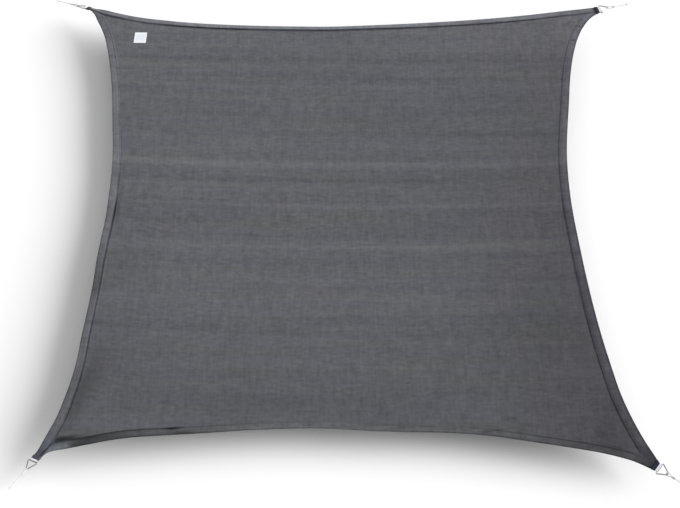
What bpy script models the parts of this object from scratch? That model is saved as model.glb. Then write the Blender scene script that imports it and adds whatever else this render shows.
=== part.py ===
"""Shade sail: one tensioned knitted cloth with four curved hemmed edges, and at each corner a bound end,
a webbing strap, a triangular ring and a short rope with an eye and an end knot.

Frame: metres, +Z up, X along the front edge, Y from the front edge to the back edge. The origin is the
point where a pull bears on the nose of the front left ring.
"""
import math

import bpy
import numpy as np

# ---------------------------------------------------------------- named sizes, metres and degrees
SIDE = 3.48                # from cloth tip to cloth tip along every side
TWIST = 0.0235             # front left and back right tips are this much up, the other two down
SAG = 0.090                # how far the middle of the cloth hangs below its tips
SAG_POWER = 0.85           # lower is flatter in the middle
CLOTH = 0.0015             # the knitted sheet
HEM = 0.003                # the folded hem, two more layers
HEM_WIDTH = 0.048
HEM_STEP = 0.003           # run of the step from hem to sheet
GAP = 0.00035              # between neighbouring pieces

TIP_WIDTH = 0.050          # the cut end of the cloth at each tip
NECK = 0.030               # its edges run straight as far as this from the tip
TIP_INSET = 0.001          # cloth stops this much short of the end of its binding
ROLL_FULL = 0.060          # a tip's roll is full up to this distance from it
ROLL_END = 0.165           # and gone by this one

BINDING_LENGTH = 0.024
BINDING_WALL = 0.0011
BINDING_ROUND = 0.0016
BINDING_CREASE = 0.0002    # rounding of the inner corners
ROUND_STEPS = 3            # steps round each corner of an outline

STRAP = 0.0016             # webbing thickness
STRAP_REACH = 0.0121       # from the cloth's end to the middle of the ring's bar
STRAP_WIDTH = 0.0485
STRAP_TONGUE = 0.0225      # length of each tongue inside the binding
STRAP_FLAT = 0.002         # it lies flat this far beyond the cloth's end
LOOP_EASE = 0.0002         # the loop is this much looser round the bar than the gap
STRAP_LOOP_STEPS = 16

WIRE = 0.008               # ring wire diameter
RING_SIDE = 0.078          # side of the sharp triangle of centre lines
RING_BASE_ROUND = 0.007
RING_NOSE_ROUND = 0.010
RING_BEND_STEPS = 8
RING_LEG_STEPS = 4
RING_SECTION = 14

ROPE = 0.006
EYE_HALF = 0.0113          # half the spread of the eye's legs at the nose
EYE_TURN = 0.008           # depth of the turn inside the ring
EYE_START = 0.001          # the turn begins this far behind the nose's centre line
EYE_REACH = 0.032          # the legs have come together this far beyond the nose
EYE_TILT = 55.0            # the eye's plane against the ring's plane
EYE_CLOSING = 0.9          # lower brings the legs together sooner
EYE_LEG_STEPS = 8
TURN_SPAN = 75.0           # degrees of the turn to each side
TURN_STEPS = 10
LEGS_HALF = 0.0032         # half the spacing of the strands under the seizing
LEGS_STRAIGHT = 0.001      # they run straight this far into it
ROPE_STEPS = 5
TAIL_END = 0.046
STRAIGHT_FROM = 0.072      # from here the rope is on the line of pull
ROPE_REACH = 0.150         # nose to the outer face of the end knot

SEIZING_FROM = 0.033
SEIZING_LENGTH = 0.014
SEIZING_WALL = 0.0014
SEIZING_ARC = 8

KNOT_LENGTH = 0.016
KNOT_SECTION = 20
# along the knot (0 inner face, 1 outer face), radius
KNOT_TABLE = [
    (0.00, 0.0046),
    (0.08, 0.0060),
    (0.28, 0.0071),
    (0.45, 0.0066),
    (0.62, 0.0070),
    (0.90, 0.0058),
    (1.00, 0.0042),
]

LABEL_AT = (0.377, 3.217)  # middle of the label, from the front left tip
LABEL_SIZE = (0.081, 0.092)
LABEL_TURN = 0.8           # of its width from the X axis
LABEL_LEAN = 0.060         # of its sides along X, as the cloth is pulled
LABEL_THICK = 0.0008
LABEL_LIFT = 0.0006
LABEL_STEPS = 4

# corner: tip in sides along X and Y, direction of pull, roll of the tip about that line
CORNERS = {
    "front_left": (0, 0, 237.0, 20.0),
    "front_right": (1, 0, 321.0, 9.0),
    "back_right": (1, 1, 15.0, 0.0),
    "back_left": (0, 1, 163.0, 33.0),
}

# each edge: from corner, to corner, then rows of (distance along the side, distance in from the side)
EDGES = {
    "front": ("front_left", "front_right", [
        (0.075, 0.0395),
        (0.110, 0.0560),
        (0.150, 0.0660),
        (0.515, 0.1515),
        (0.735, 0.1730),
        (0.960, 0.1940),
        (1.185, 0.2160),
        (1.640, 0.2350),
        (1.865, 0.2235),
        (2.095, 0.2165),
        (2.325, 0.2145),
        (2.550, 0.1975),
        (2.775, 0.1605),
        (3.000, 0.1220),
        (3.220, 0.0765),
        (3.370, 0.0280),
    ]),
    "back": ("back_left", "back_right", [
        (0.060, -0.0095),
        (0.090, 0.0045),
        (0.120, 0.0160),
        (0.185, 0.0385),
        (0.295, 0.0685),
        (0.570, 0.1105),
        (1.110, 0.1430),
        (1.380, 0.1470),
        (1.650, 0.1470),
        (1.920, 0.1350),
        (3.010, 0.0455),
        (3.285, 0.0055),
        (3.400, -0.0105),
    ]),
    "left": ("front_left", "back_left", [
        (0.085, 0.0195),
        (0.120, 0.0345),
        (0.200, 0.0660),
        (0.255, 0.0870),
        (0.390, 0.1235),
        (0.665, 0.1730),
        (0.800, 0.1835),
        (1.240, 0.2225),
        (1.390, 0.2290),
        (1.540, 0.2415),
        (1.700, 0.2570),
        (1.850, 0.2640),
        (2.170, 0.2670),
        (2.500, 0.2430),
        (2.840, 0.2105),
        (3.105, 0.1665),
        (3.210, 0.1415),
        (3.370, 0.0760),
        (3.400, 0.0605),
    ]),
    "right": ("front_right", "back_right", [
        (0.090, 0.0170),
        (0.175, 0.0550),
        (0.435, 0.1445),
        (0.710, 0.1990),
        (1.580, 0.3000),
        (1.890, 0.3195),
        (2.205, 0.3170),
        (2.700, 0.2635),
        (2.865, 0.2435),
        (3.125, 0.1930),
        (3.230, 0.1605),
        (3.300, 0.1300),
        (3.400, 0.0625),
    ]),
}

# soft folds: start x, start y, end x, end y (from the front left tip), half width, height (below 0 a trough)
FOLDS = [
    (0.080, 0.075, 0.250, 0.152, 0.018, 0.008),
    (0.120, 0.165, 0.330, 0.180, 0.016, -0.005),
    (0.670, 0.226, 0.800, 0.230, 0.014, -0.005),
    (2.180, 0.262, 2.640, 0.266, 0.020, -0.004),
    (2.540, 0.340, 2.790, 0.240, 0.026, -0.005),
    (3.130, 0.225, 3.210, 0.195, 0.020, -0.005),
    (0.300, 1.640, 0.330, 2.020, 0.016, -0.006),
    (0.110, 3.430, 0.420, 3.300, 0.030, 0.006),
    (3.300, 3.430, 3.020, 3.300, 0.030, 0.005),
    (1.900, 0.180, 2.300, 0.170, 0.040, 0.005),
]

# grid of the sheet
RIM_CELLS = 4              # cells across the hem
INNER_CELLS = 35           # cells between the hems
END_CROWD = 0.62           # 0 spaces the cells evenly, 1 crowds them to the hems
EDGE_SAMPLES = 3600
CORNER_SEARCH = (0.10, 0.60)  # how far from a tip its hems' inner lines can meet
SEARCH_STEPS = 900
FOLD_FADE = 1 / 3          # a fold rises and falls over this share of its length at each end

# colours: base colour, roughness, metallic
COLOURS = {
    "shade_cloth": ((0.118, 0.121, 0.132), 0.85, 0.0),
    "label_cloth": ((0.75, 0.76, 0.79), 0.60, 0.0),
    "binding_cloth": ((0.014, 0.015, 0.020), 0.80, 0.0),
    "webbing": ((0.80, 0.81, 0.84), 0.65, 0.0),
    "ring_steel": ((0.40, 0.40, 0.39), 0.35, 1.0),
    "rope_yarn": ((0.62, 0.62, 0.62), 0.75, 0.0),
    "seizing_yarn": ((0.48, 0.48, 0.48), 0.80, 0.0),
}


# ---------------------------------------------------------------- small tools
def smooth(t):
    """0 to 1 with level ends."""
    t = np.clip(t, 0.0, 1.0)
    return t * t * (3.0 - 2.0 * t)


def unit(v):
    return v / np.linalg.norm(v, axis=-1, keepdims=True)


def through(rows, where):
    """A smooth curve through the rows, spaced by their distances, at the given distances along it."""
    rows = np.asarray(rows, float)
    run = np.concatenate([[0.0], np.cumsum(np.linalg.norm(np.diff(rows, axis=0), axis=1))])
    slope = np.empty_like(rows)
    step = np.diff(run)[:, None]
    chord = np.diff(rows, axis=0) / step
    slope[0] = chord[0]
    slope[-1] = chord[-1]
    slope[1:-1] = (chord[:-1] * step[1:] + chord[1:] * step[:-1]) / (step[1:] + step[:-1])
    where = np.clip(where, 0.0, 1.0) * run[-1]
    k = np.clip(np.searchsorted(run, where, side="right") - 1, 0, len(step) - 1)
    h = step[k]
    t = ((where - run[k]) / h[:, 0])[:, None]
    return (
        rows[k] * (1 + 2 * t) * (1 - t) ** 2
        + slope[k] * h * t * (1 - t) ** 2
        + rows[k + 1] * t * t * (3 - 2 * t)
        - slope[k + 1] * h * t * t * (1 - t)
    )


def material(name):
    colour, roughness, metallic = COLOURS[name]
    mat = bpy.data.materials.new(name)
    mat.use_nodes = True
    shader = mat.node_tree.nodes["Principled BSDF"]
    shader.inputs["Base Color"].default_value = (*colour, 1.0)
    shader.inputs["Roughness"].default_value = roughness
    shader.inputs["Metallic"].default_value = metallic
    mat.diffuse_color = (*colour, 1.0)
    return mat


def add_mesh(name, verts, faces, mat, rounded):
    mesh = bpy.data.meshes.new(name)
    mesh.from_pydata([tuple(map(float, v)) for v in verts], [], [tuple(map(int, f)) for f in faces])
    mesh.materials.append(mat)
    mesh.polygons.foreach_set("use_smooth", [rounded] * len(mesh.polygons))
    mesh.update()
    obj = bpy.data.objects.new(name, mesh)
    bpy.context.scene.collection.objects.link(obj)
    return obj


def grid_quads(rows, cols, offset=0, flip=False):
    """Quads of a rows by cols grid of numbered vertices."""
    i, j = np.meshgrid(np.arange(rows - 1), np.arange(cols - 1), indexing="ij")
    a = (i * cols + j).ravel() + offset
    quads = np.stack([a, a + cols, a + cols + 1, a + 1], axis=1)
    return quads[:, ::-1] if flip else quads


def ring_of_sections(sections, close):
    """Skin over a row of equal closed sections, capped at both ends, or closed on itself."""
    count, per = sections.shape[:2]
    i, j = np.meshgrid(np.arange(count if close else count - 1), np.arange(per), indexing="ij")
    nexti = (i + 1) % count
    nextj = (j + 1) % per
    faces = np.stack([i * per + j, i * per + nextj, nexti * per + nextj, nexti * per + j], axis=-1)
    faces = [tuple(f) for f in faces.reshape(-1, 4)]
    if not close:
        faces.append(tuple(range(per - 1, -1, -1)))
        faces.append(tuple((count - 1) * per + k for k in range(per)))
    return sections.reshape(-1, 3), faces


# ---------------------------------------------------------------- corner frames
RING_HEIGHT = RING_SIDE * math.sqrt(3.0) / 2.0
NOSE_REACH = STRAP_REACH + RING_HEIGHT - RING_NOSE_ROUND   # cloth end to the nose's centre line


class Corner:
    """A corner's own frame: along the pull, across it, and off the cloth, from the cloth's end."""

    def __init__(self, name):
        at_x, at_y, pull, roll = CORNERS[name]
        self.name = name
        self.plan = np.array([at_x * SIDE, at_y * SIDE])
        lift = TWIST if at_x == at_y else -TWIST
        self.tip = np.array([at_x * SIDE, at_y * SIDE, lift])
        angle = math.radians(pull)
        self.roll = math.radians(roll)
        self.pull = np.array([math.cos(angle), math.sin(angle), 0.0])
        self.side = np.array([-math.sin(angle), math.cos(angle), 0.0])
        up = np.array([0.0, 0.0, 1.0])
        self.across = self.side * math.cos(self.roll) + up * math.sin(self.roll)
        self.off = np.cross(self.pull, self.across)

    def place(self, a, b, c):
        a, b, c = np.broadcast_arrays(np.asarray(a, float), b, c)
        spot = a[..., None] * self.pull + b[..., None] * self.across + c[..., None] * self.off
        return self.tip + spot - ORIGIN


CORNER = {}
ORIGIN = np.zeros(3)
for corner_name in CORNERS:
    CORNER[corner_name] = Corner(corner_name)
FIRST = CORNER["front_left"]
ORIGIN = FIRST.tip + FIRST.pull * (NOSE_REACH - WIRE / 2)


# ---------------------------------------------------------------- the hanging surface
def height(x, y):
    """Underside height over the plan: twisted between the tips, sagging, level at each tip, with folds."""
    u = np.clip(x / SIDE, 0.0, 1.0)
    v = np.clip(y / SIDE, 0.0, 1.0)
    twist = TWIST * (1 - 2 * u) * (1 - 2 * v)
    sag = -SAG * (16.0 * u * (1 - u) * v * (1 - v)) ** SAG_POWER
    z = twist + sag
    for x0, y0, x1, y1, half, rise in FOLDS:
        dx, dy = x1 - x0, y1 - y0
        length = math.hypot(dx, dy)
        along = ((x - x0) * dx + (y - y0) * dy) / length ** 2
        beside = ((x - x0) * dy - (y - y0) * dx) / length
        ends = smooth(along / FOLD_FADE) * smooth((1 - along) / FOLD_FADE)
        z = z + rise * np.exp(-((beside / half) ** 2)) * ends
    for corner in CORNER.values():
        far = np.hypot(x - corner.plan[0], y - corner.plan[1])
        w = smooth((far - ROLL_FULL) / (ROLL_END - ROLL_FULL))
        z = corner.tip[2] + (z - corner.tip[2]) * w
    return z


def surface(x, y):
    """Plan position to hanging position: the height, then the roll near each tip about its line of pull."""
    spot = np.stack([x, y, height(x, y)], axis=-1)
    for corner in CORNER.values():
        if corner.roll == 0.0:
            continue
        rel = spot - corner.tip
        far = np.hypot(rel[..., 0], rel[..., 1])
        angle = corner.roll * np.clip((ROLL_END - far) / (ROLL_END - ROLL_FULL), 0.0, 1.0) ** 2
        a = rel @ corner.pull
        b = rel @ corner.side
        c = rel[..., 2]
        turned_b = b * np.cos(angle) - c * np.sin(angle)
        turned_c = b * np.sin(angle) + c * np.cos(angle)
        spot = corner.tip + (
            a[..., None] * corner.pull
            + turned_b[..., None] * corner.side
            + turned_c[..., None] * np.array([0.0, 0.0, 1.0])
        )
    return spot


def surface_normal(x, y, step=0.0005):
    du = surface(x + step, y) - surface(x - step, y)
    dv = surface(x, y + step) - surface(x, y - step)
    return unit(np.cross(du, dv))


# ---------------------------------------------------------------- the outline
def side_point(edge, along, inset):
    return {
        "front": (along, inset),
        "back": (along, SIDE - inset),
        "left": (inset, along),
        "right": (SIDE - inset, along),
    }[edge]


def tip_points(corner, edge):
    """The cut end of the cloth at a corner, on the side of this edge: middle and end corner."""
    middle = corner.plan - TIP_INSET * corner.pull[:2]
    across = corner.side[:2] * TIP_WIDTH / 2
    inward = {"front": (0, 1), "back": (0, -1), "left": (1, 0), "right": (-1, 0)}[edge]
    if across @ np.array(inward, float) > 0:
        across = -across
    return [middle, middle + across]


class Edge:
    """One edge of the cloth as a dense plan curve with its inward normals."""

    def __init__(self, name):
        start, end, rows = EDGES[name]
        first = tip_points(CORNER[start], name)
        last = tip_points(CORNER[end], name)
        curve = [first[1]] + [np.array(side_point(name, *row)) for row in rows] + [last[1]]
        dense = through(curve, np.linspace(0.0, 1.0, EDGE_SAMPLES))
        self.points = np.vstack([first[0], dense, last[0]])
        self.run = np.concatenate([[0.0], np.cumsum(np.linalg.norm(np.diff(self.points, axis=0), axis=1))])
        tangent = unit(np.gradient(self.points, axis=0))
        turn = 1.0 if name in ("front", "right") else -1.0
        self.inward = turn * np.stack([-tangent[:, 1], tangent[:, 0]], axis=1)
        self.length = self.run[-1]

    def at(self, run):
        return np.stack([np.interp(run, self.run, self.points[:, k]) for k in range(2)], axis=-1)

    def inner(self, run, depth):
        n = np.stack([np.interp(run, self.run, self.inward[:, k]) for k in range(2)], axis=-1)
        return self.at(run) + depth * unit(n)

    def shoulder(self, corner):
        """Where the straight part of this edge beside a corner ends: along the corner's pull, and across it."""
        run = TIP_WIDTH / 2 + NECK - TIP_INSET
        at_start = np.linalg.norm(self.points[0] - corner.plan) < np.linalg.norm(self.points[-1] - corner.plan)
        rel = self.at(run if at_start else self.length - run) - corner.plan
        return rel @ corner.pull[:2], rel @ corner.side[:2]


def meet(one, one_from_end, two, two_from_end):
    """Runs on two edges at which their hems' inner lines cross near their common tip, and the crossing."""
    reach = np.linspace(*CORNER_SEARCH, SEARCH_STEPS)
    a = one.length - reach if one_from_end else reach
    b = two.length - reach if two_from_end else reach
    pa, pb = one.inner(a, HEM_WIDTH), two.inner(b, HEM_WIDTH)
    gap = np.linalg.norm(pa[:, None] - pb[None], axis=2)
    i, j = np.unravel_index(np.argmin(gap), gap.shape)
    return a[i], b[j], (pa[i] + pb[j]) / 2


def plan_grid(rim, inner, crowd):
    """Plan positions of the whole sheet's grid. Index i goes left to right and j front to back."""
    edge = {name: Edge(name) for name in EDGES}
    front, back, left, right = edge["front"], edge["back"], edge["left"], edge["right"]
    s_fl, t_fl, c_fl = meet(front, False, left, False)
    s_fr, t_fr, c_fr = meet(front, True, right, False)
    s_bl, t_bl, c_bl = meet(back, False, left, True)
    s_br, t_br, c_br = meet(back, True, right, True)

    even = np.linspace(0.0, 1.0, inner + 1)
    frac = (1 - crowd) * even + crowd * (0.5 - 0.5 * np.cos(np.pi * even))

    def runs(e, lo, hi):
        half = TIP_WIDTH / 2
        neck = half + NECK - TIP_INSET
        begin = np.concatenate([[0.0, half], np.linspace(neck, lo, rim - 1)])
        end = e.length - np.concatenate([[0.0, half], np.linspace(neck, e.length - hi, rim - 1)])[::-1]
        middle = lo + HEM_STEP + (hi - lo - 2 * HEM_STEP) * frac
        return np.concatenate([begin, middle, end])

    size = 2 * rim + inner + 3
    last = size - 1
    lo, hi = rim, last - rim
    r_front, r_back = runs(front, s_fl, s_fr), runs(back, s_bl, s_br)
    r_left, r_right = runs(left, t_fl, t_bl), runs(right, t_fr, t_br)
    grid = np.zeros((size, size, 2))
    grid[:, 0], grid[:, last] = front.at(r_front), back.at(r_back)
    grid[0, :], grid[last, :] = left.at(r_left), right.at(r_right)

    # hems
    span = slice(lo, hi + 1)
    w = (np.arange(rim + 1) / rim)[:, None, None]
    inner_front = front.inner(r_front[span], HEM_WIDTH)
    inner_back = back.inner(r_back[span], HEM_WIDTH)
    inner_left = left.inner(r_left[span], HEM_WIDTH)
    inner_right = right.inner(r_right[span], HEM_WIDTH)
    inner_front[0] = inner_left[0] = c_fl
    inner_front[-1] = inner_right[0] = c_fr
    inner_back[0] = inner_left[-1] = c_bl
    inner_back[-1] = inner_right[-1] = c_br
    grid[:lo + 1, span] = grid[0, span][None] * (1 - w) + inner_left[None] * w
    grid[hi:, span] = (grid[last, span][None] * (1 - w) + inner_right[None] * w)[::-1]
    across = np.moveaxis(w, 0, 1)
    grid[span, :lo + 1] = grid[span, 0][:, None] * (1 - across) + inner_front[:, None] * across
    grid[span, hi:] = (grid[span, last][:, None] * (1 - across) + inner_back[:, None] * across)[:, ::-1]

    # corner blocks and the sheet between the hems, each blended from its four sides
    def blend(i0, i1, j0, j1):
        u = np.linspace(0, 1, i1 - i0 + 1)[:, None, None]
        v = np.linspace(0, 1, j1 - j0 + 1)[None, :, None]
        if i1 - i0 > rim:
            u = frac[:, None, None]
            v = frac[None, :, None]
        a, b = grid[i0:i1 + 1, j0][:, None], grid[i0:i1 + 1, j1][:, None]
        c, d = grid[i0, j0:j1 + 1][None], grid[i1, j0:j1 + 1][None]
        twice = (
            (1 - u) * (1 - v) * grid[i0, j0] + u * (1 - v) * grid[i1, j0]
            + (1 - u) * v * grid[i0, j1] + u * v * grid[i1, j1]
        )
        grid[i0:i1 + 1, j0:j1 + 1] = (1 - v) * a + v * b + (1 - u) * c + u * d - twice

    for i0, i1 in ((0, lo), (hi, last)):
        for j0, j1 in ((0, lo), (hi, last)):
            blend(i0, i1, j0, j1)
    thin = slice(lo + 1, hi)
    grid[thin, lo + 1] = front.inner(r_front[thin], HEM_WIDTH + HEM_STEP)
    grid[thin, hi - 1] = back.inner(r_back[thin], HEM_WIDTH + HEM_STEP)
    grid[lo + 1, thin] = left.inner(r_left[thin], HEM_WIDTH + HEM_STEP)
    grid[hi - 1, thin] = right.inner(r_right[thin], HEM_WIDTH + HEM_STEP)
    grid[lo + 1, lo + 1] = inner_front[1] + inner_left[1] - c_fl
    grid[hi - 1, lo + 1] = inner_front[-2] + inner_right[1] - c_fr
    grid[lo + 1, hi - 1] = inner_back[1] + inner_left[-2] - c_bl
    grid[hi - 1, hi - 1] = inner_back[-2] + inner_right[-2] - c_br
    blend(lo + 1, hi - 1, lo + 1, hi - 1)
    return grid, lo, hi


def slab(name, over, under, mat):
    """A closed sheet between an upper and an under grid of the same size."""
    rows, cols = over.shape[:2]
    count = rows * cols
    verts = np.vstack([over.reshape(-1, 3), under.reshape(-1, 3)])
    faces = [tuple(f) for f in grid_quads(rows, cols)]
    faces += [tuple(f) for f in grid_quads(rows, cols, count, flip=True)]
    rim = np.concatenate([
        np.arange(rows - 1) * cols,
        (rows - 1) * cols + np.arange(cols - 1),
        np.arange(rows - 1, 0, -1) * cols + cols - 1,
        np.arange(cols - 1, 0, -1),
    ])
    after = np.roll(rim, -1)
    faces += [(a, a + count, b + count, b) for a, b in zip(rim, after)]
    return add_mesh(name, verts, faces, mat, False)


def build_sail(mat):
    grid, lo, hi = plan_grid(RIM_CELLS, INNER_CELLS, END_CROWD)
    x, y = grid[..., 0], grid[..., 1]
    index = np.arange(grid.shape[0])
    in_hem = (index <= lo) | (index >= hi)
    thick = np.where(in_hem[:, None] | in_hem[None, :], HEM, CLOTH)
    normal = surface_normal(x, y)
    under = surface(x, y) - normal * HEM / 2 - ORIGIN
    return slab("sail", under + normal * thick[..., None], under, mat)


def build_label(mat):
    """A bare patch on the cloth's upper face, near the back left corner."""
    s = np.linspace(-0.5, 0.5, LABEL_STEPS + 1)
    u, v = np.meshgrid(s * LABEL_SIZE[0], s * LABEL_SIZE[1], indexing="ij")
    turn = math.radians(LABEL_TURN)
    x = LABEL_AT[0] + u * math.cos(turn) + v * LABEL_LEAN
    y = LABEL_AT[1] + u * math.sin(turn) + v
    normal = surface_normal(x, y)
    under = surface(x, y) + normal * (CLOTH - HEM / 2 + LABEL_LIFT) - ORIGIN
    return slab("label", under + normal * LABEL_THICK, under, mat)


# ---------------------------------------------------------------- corner pieces
def rounded_rectangle(low, high, half_high, radius):
    """Counter-clockwise outline from low to high, the same count of points whatever its size."""
    out = []
    middle = (low + high) / 2
    half_wide = (high - low) / 2
    for quarter, (sx, sy) in enumerate([(1, 1), (-1, 1), (-1, -1), (1, -1)]):
        for k in range(ROUND_STEPS + 1):
            angle = math.pi / 2 * (quarter + k / ROUND_STEPS)
            out.append((
                middle + sx * (half_wide - radius) + radius * math.cos(angle),
                sy * (half_high - radius) + radius * math.sin(angle),
            ))
    return np.array(out)


def sleeve(name, corner, stations, across, off, mat):
    """A tube of wall along the pull. A station is a distance along it, an inner and an outer outline."""
    loops = [(a, outer) for a, inner, outer in stations] + [(a, inner) for a, inner, outer in stations[::-1]]
    sections = []
    for a, outline in loops:
        spot = outline[:, :1] * across + outline[:, 1:] * off + a * corner.pull
        sections.append(corner.tip - ORIGIN + spot)
    verts, faces = ring_of_sections(np.stack(sections), close=True)
    return add_mesh(name, verts, faces, mat, False)


def build_binding(corner, mat):
    """The bound end: it widens with the cloth inside it, whose edges run straight from its cut end."""
    inner_high = HEM / 2 + GAP + STRAP + GAP
    shoulders = [Edge(name).shoulder(corner) for name in EDGES if corner.name in EDGES[name][:2]]
    stations = []
    for a in (-BINDING_LENGTH, -TIP_INSET, 0.0):
        ends = []
        for far, beside in shoulders:
            slope = (abs(beside) - TIP_WIDTH / 2) / (-TIP_INSET - far)
            clear = GAP * math.hypot(1.0, slope)
            reach = TIP_WIDTH / 2 + slope * max(-TIP_INSET - a, 0.0) + clear
            ends.append(math.copysign(reach, beside))
        low, high = sorted(ends)
        inner = rounded_rectangle(low, high, inner_high, BINDING_CREASE)
        wall = BINDING_WALL
        outer = rounded_rectangle(low - wall, high + wall, inner_high + wall, BINDING_ROUND)
        stations.append((a, inner, outer))
    return sleeve("binding_" + corner.name, corner, stations, corner.across, corner.off, mat)


def build_strap(corner, mat):
    """A band of webbing, one tongue on each face of the cloth and a loop round the ring's bar."""
    near = HEM / 2 + GAP
    loop = WIRE / 2 + GAP + LOOP_EASE
    turn = np.linspace(math.pi / 2, -math.pi / 2, STRAP_LOOP_STEPS + 1)
    slack = 1.0 / math.cos(turn[0] / STRAP_LOOP_STEPS)

    def profile(gap_c, radius):
        upper = [(-STRAP_TONGUE, gap_c), (STRAP_FLAT, gap_c)]
        arc = [(STRAP_REACH + radius * math.cos(t), radius * math.sin(t)) for t in turn]
        lower = [(STRAP_FLAT, -gap_c), (-STRAP_TONGUE, -gap_c)]
        return upper + arc + lower

    inside = profile(near, loop * slack)
    outside = profile(near + STRAP, loop * slack + STRAP)
    per = len(inside)
    verts = []
    for b in (-STRAP_WIDTH / 2, STRAP_WIDTH / 2):
        for a, c in outside + inside:
            verts.append(corner.place(a, b, c))
    faces = []
    side = 2 * per
    for k in range(per - 1):
        faces.append((k, k + 1, side + k + 1, side + k))
        faces.append((per + k, side + per + k, side + per + k + 1, per + k + 1))
        faces.append((k, per + k, per + k + 1, k + 1))
        faces.append((side + k, side + k + 1, side + per + k + 1, side + per + k))
    faces.append((0, side, side + per, per))
    faces.append((per - 1, 2 * per - 1, side + 2 * per - 1, side + per - 1))
    faces = [f[::-1] for f in faces]
    return add_mesh("strap_" + corner.name, verts, faces, mat, False)


def ring_line():
    """Centre line of the wire in the ring's plane: distance beyond the cloth's end, and across."""
    corners = [
        (STRAP_REACH, -RING_SIDE / 2, RING_BASE_ROUND),
        (STRAP_REACH + RING_HEIGHT, 0.0, RING_NOSE_ROUND),
        (STRAP_REACH, RING_SIDE / 2, RING_BASE_ROUND),
    ]
    tan_half = math.tan(math.radians(30.0))
    points = []
    for k, (a, b, radius) in enumerate(corners):
        after_a, after_b, after_radius = corners[(k + 1) % 3]
        here = np.array([a, b])
        following = np.array([after_a, after_b])
        before = unit(np.array(corners[k - 1][:2]) - here)
        after = unit(following - here)
        reach = radius / tan_half
        centre = here + unit(before + after) * radius * 2.0
        start = here + before * reach - centre
        end = here + after * reach - centre
        first = math.atan2(start[1], start[0])
        sweep = (math.atan2(end[1], end[0]) - first + math.pi) % (2 * math.pi) - math.pi
        for t in np.linspace(0.0, 1.0, RING_BEND_STEPS + 1):
            angle = first + sweep * t
            points.append(centre + radius * np.array([math.cos(angle), math.sin(angle)]))
        leg_from = here + after * reach
        leg_to = following - after * after_radius / tan_half
        for t in np.linspace(0.0, 1.0, RING_LEG_STEPS + 1)[1:-1]:
            points.append(leg_from * (1 - t) + leg_to * t)
    return np.array(points)


def build_ring(corner, mat):
    line = ring_line()
    tangent = unit(np.roll(line, -1, axis=0) - np.roll(line, 1, axis=0))
    normal = np.stack([-tangent[:, 1], tangent[:, 0]], axis=1)
    angle = np.arange(RING_SECTION) * 2 * math.pi / RING_SECTION
    r = WIRE / 2
    plane = line[:, None] + r * np.cos(angle)[None, :, None] * normal[:, None]
    lift = np.broadcast_to(r * np.sin(angle), plane.shape[:2])
    spots = corner.place(plane[..., 0], plane[..., 1], lift)
    verts, faces = ring_of_sections(spots, close=True)
    return add_mesh("ring_" + corner.name, verts, faces, mat, True)


def rope_directions(corner):
    tilt = math.radians(EYE_TILT)
    spread = corner.across * math.cos(tilt) + corner.off * math.sin(tilt)
    return spread, np.cross(corner.pull, spread)


def rope_line():
    """The rope's centre line: beyond the nose, and across the eye. Tail, eye, then the standing part."""
    closing = np.linspace(0.0, 1.0, EYE_LEG_STEPS + 1)
    leg_a = -EYE_START + (EYE_REACH + EYE_START) * closing
    leg_e = LEGS_HALF + (EYE_HALF - LEGS_HALF) * (0.5 + 0.5 * np.cos(np.pi * closing ** EYE_CLOSING))
    under = SEIZING_FROM + LEGS_STRAIGHT
    rows = [(TAIL_END, -LEGS_HALF), (under, -LEGS_HALF)]
    rows += [(a, -e) for a, e in zip(leg_a[::-1], leg_e[::-1])]
    for t in np.linspace(-TURN_SPAN, TURN_SPAN, TURN_STEPS + 1):
        angle = math.radians(t)
        rows.append((-EYE_START - EYE_TURN * math.cos(angle), EYE_HALF * math.sin(angle)))
    rows += list(zip(leg_a, leg_e))
    start = SEIZING_FROM + SEIZING_LENGTH
    rows += [(under, LEGS_HALF), (start, LEGS_HALF)]
    steps = np.linspace(0.0, 1.0, ROPE_STEPS + 1)[1:]
    rows += [(start + (STRAIGHT_FROM - start) * t, LEGS_HALF * (1 - smooth(t))) for t in steps]
    end = ROPE_REACH - KNOT_LENGTH - GAP
    rows += [(STRAIGHT_FROM + (end - STRAIGHT_FROM) * t, 0.0) for t in steps]
    return np.array(rows)


def build_rope(corner, mat):
    line = rope_line()
    spread, _ = rope_directions(corner)
    spots = corner.tip - ORIGIN + (NOSE_REACH + line[:, :1]) * corner.pull + line[:, 1:] * spread
    curve = bpy.data.curves.new("rope_" + corner.name, "CURVE")
    curve.dimensions = "3D"
    curve.bevel_depth = ROPE / 2
    curve.bevel_resolution = 3
    curve.use_fill_caps = True
    spline = curve.splines.new("POLY")
    spline.points.add(len(spots) - 1)
    for point, spot in zip(spline.points, spots):
        point.co = (*map(float, spot), 1.0)
    spline.use_smooth = True
    curve.materials.append(mat)
    obj = bpy.data.objects.new("rope_" + corner.name, curve)
    bpy.context.scene.collection.objects.link(obj)
    return obj


def stadium(half_long, radius, arc):
    """Counter-clockwise outline of a strip with round ends."""
    out = []
    for sign, first in ((1, -90.0), (-1, 90.0)):
        for k in range(arc + 1):
            angle = math.radians(first + 180.0 * k / arc)
            out.append((sign * half_long + radius * math.cos(angle), radius * math.sin(angle)))
    return np.array(out)


def build_seizing(corner, mat):
    spread, off = rope_directions(corner)
    slack = 1.0 / math.cos(math.pi / 2 / SEIZING_ARC)
    inner = stadium(LEGS_HALF, (ROPE / 2 + GAP) * slack, SEIZING_ARC)
    outer = stadium(LEGS_HALF, (ROPE / 2 + GAP) * slack + SEIZING_WALL, SEIZING_ARC)
    start = NOSE_REACH + SEIZING_FROM
    stations = [(a, inner, outer) for a in (start, start + SEIZING_LENGTH)]
    return sleeve("seizing_" + corner.name, corner, stations, spread, off, mat)


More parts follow.
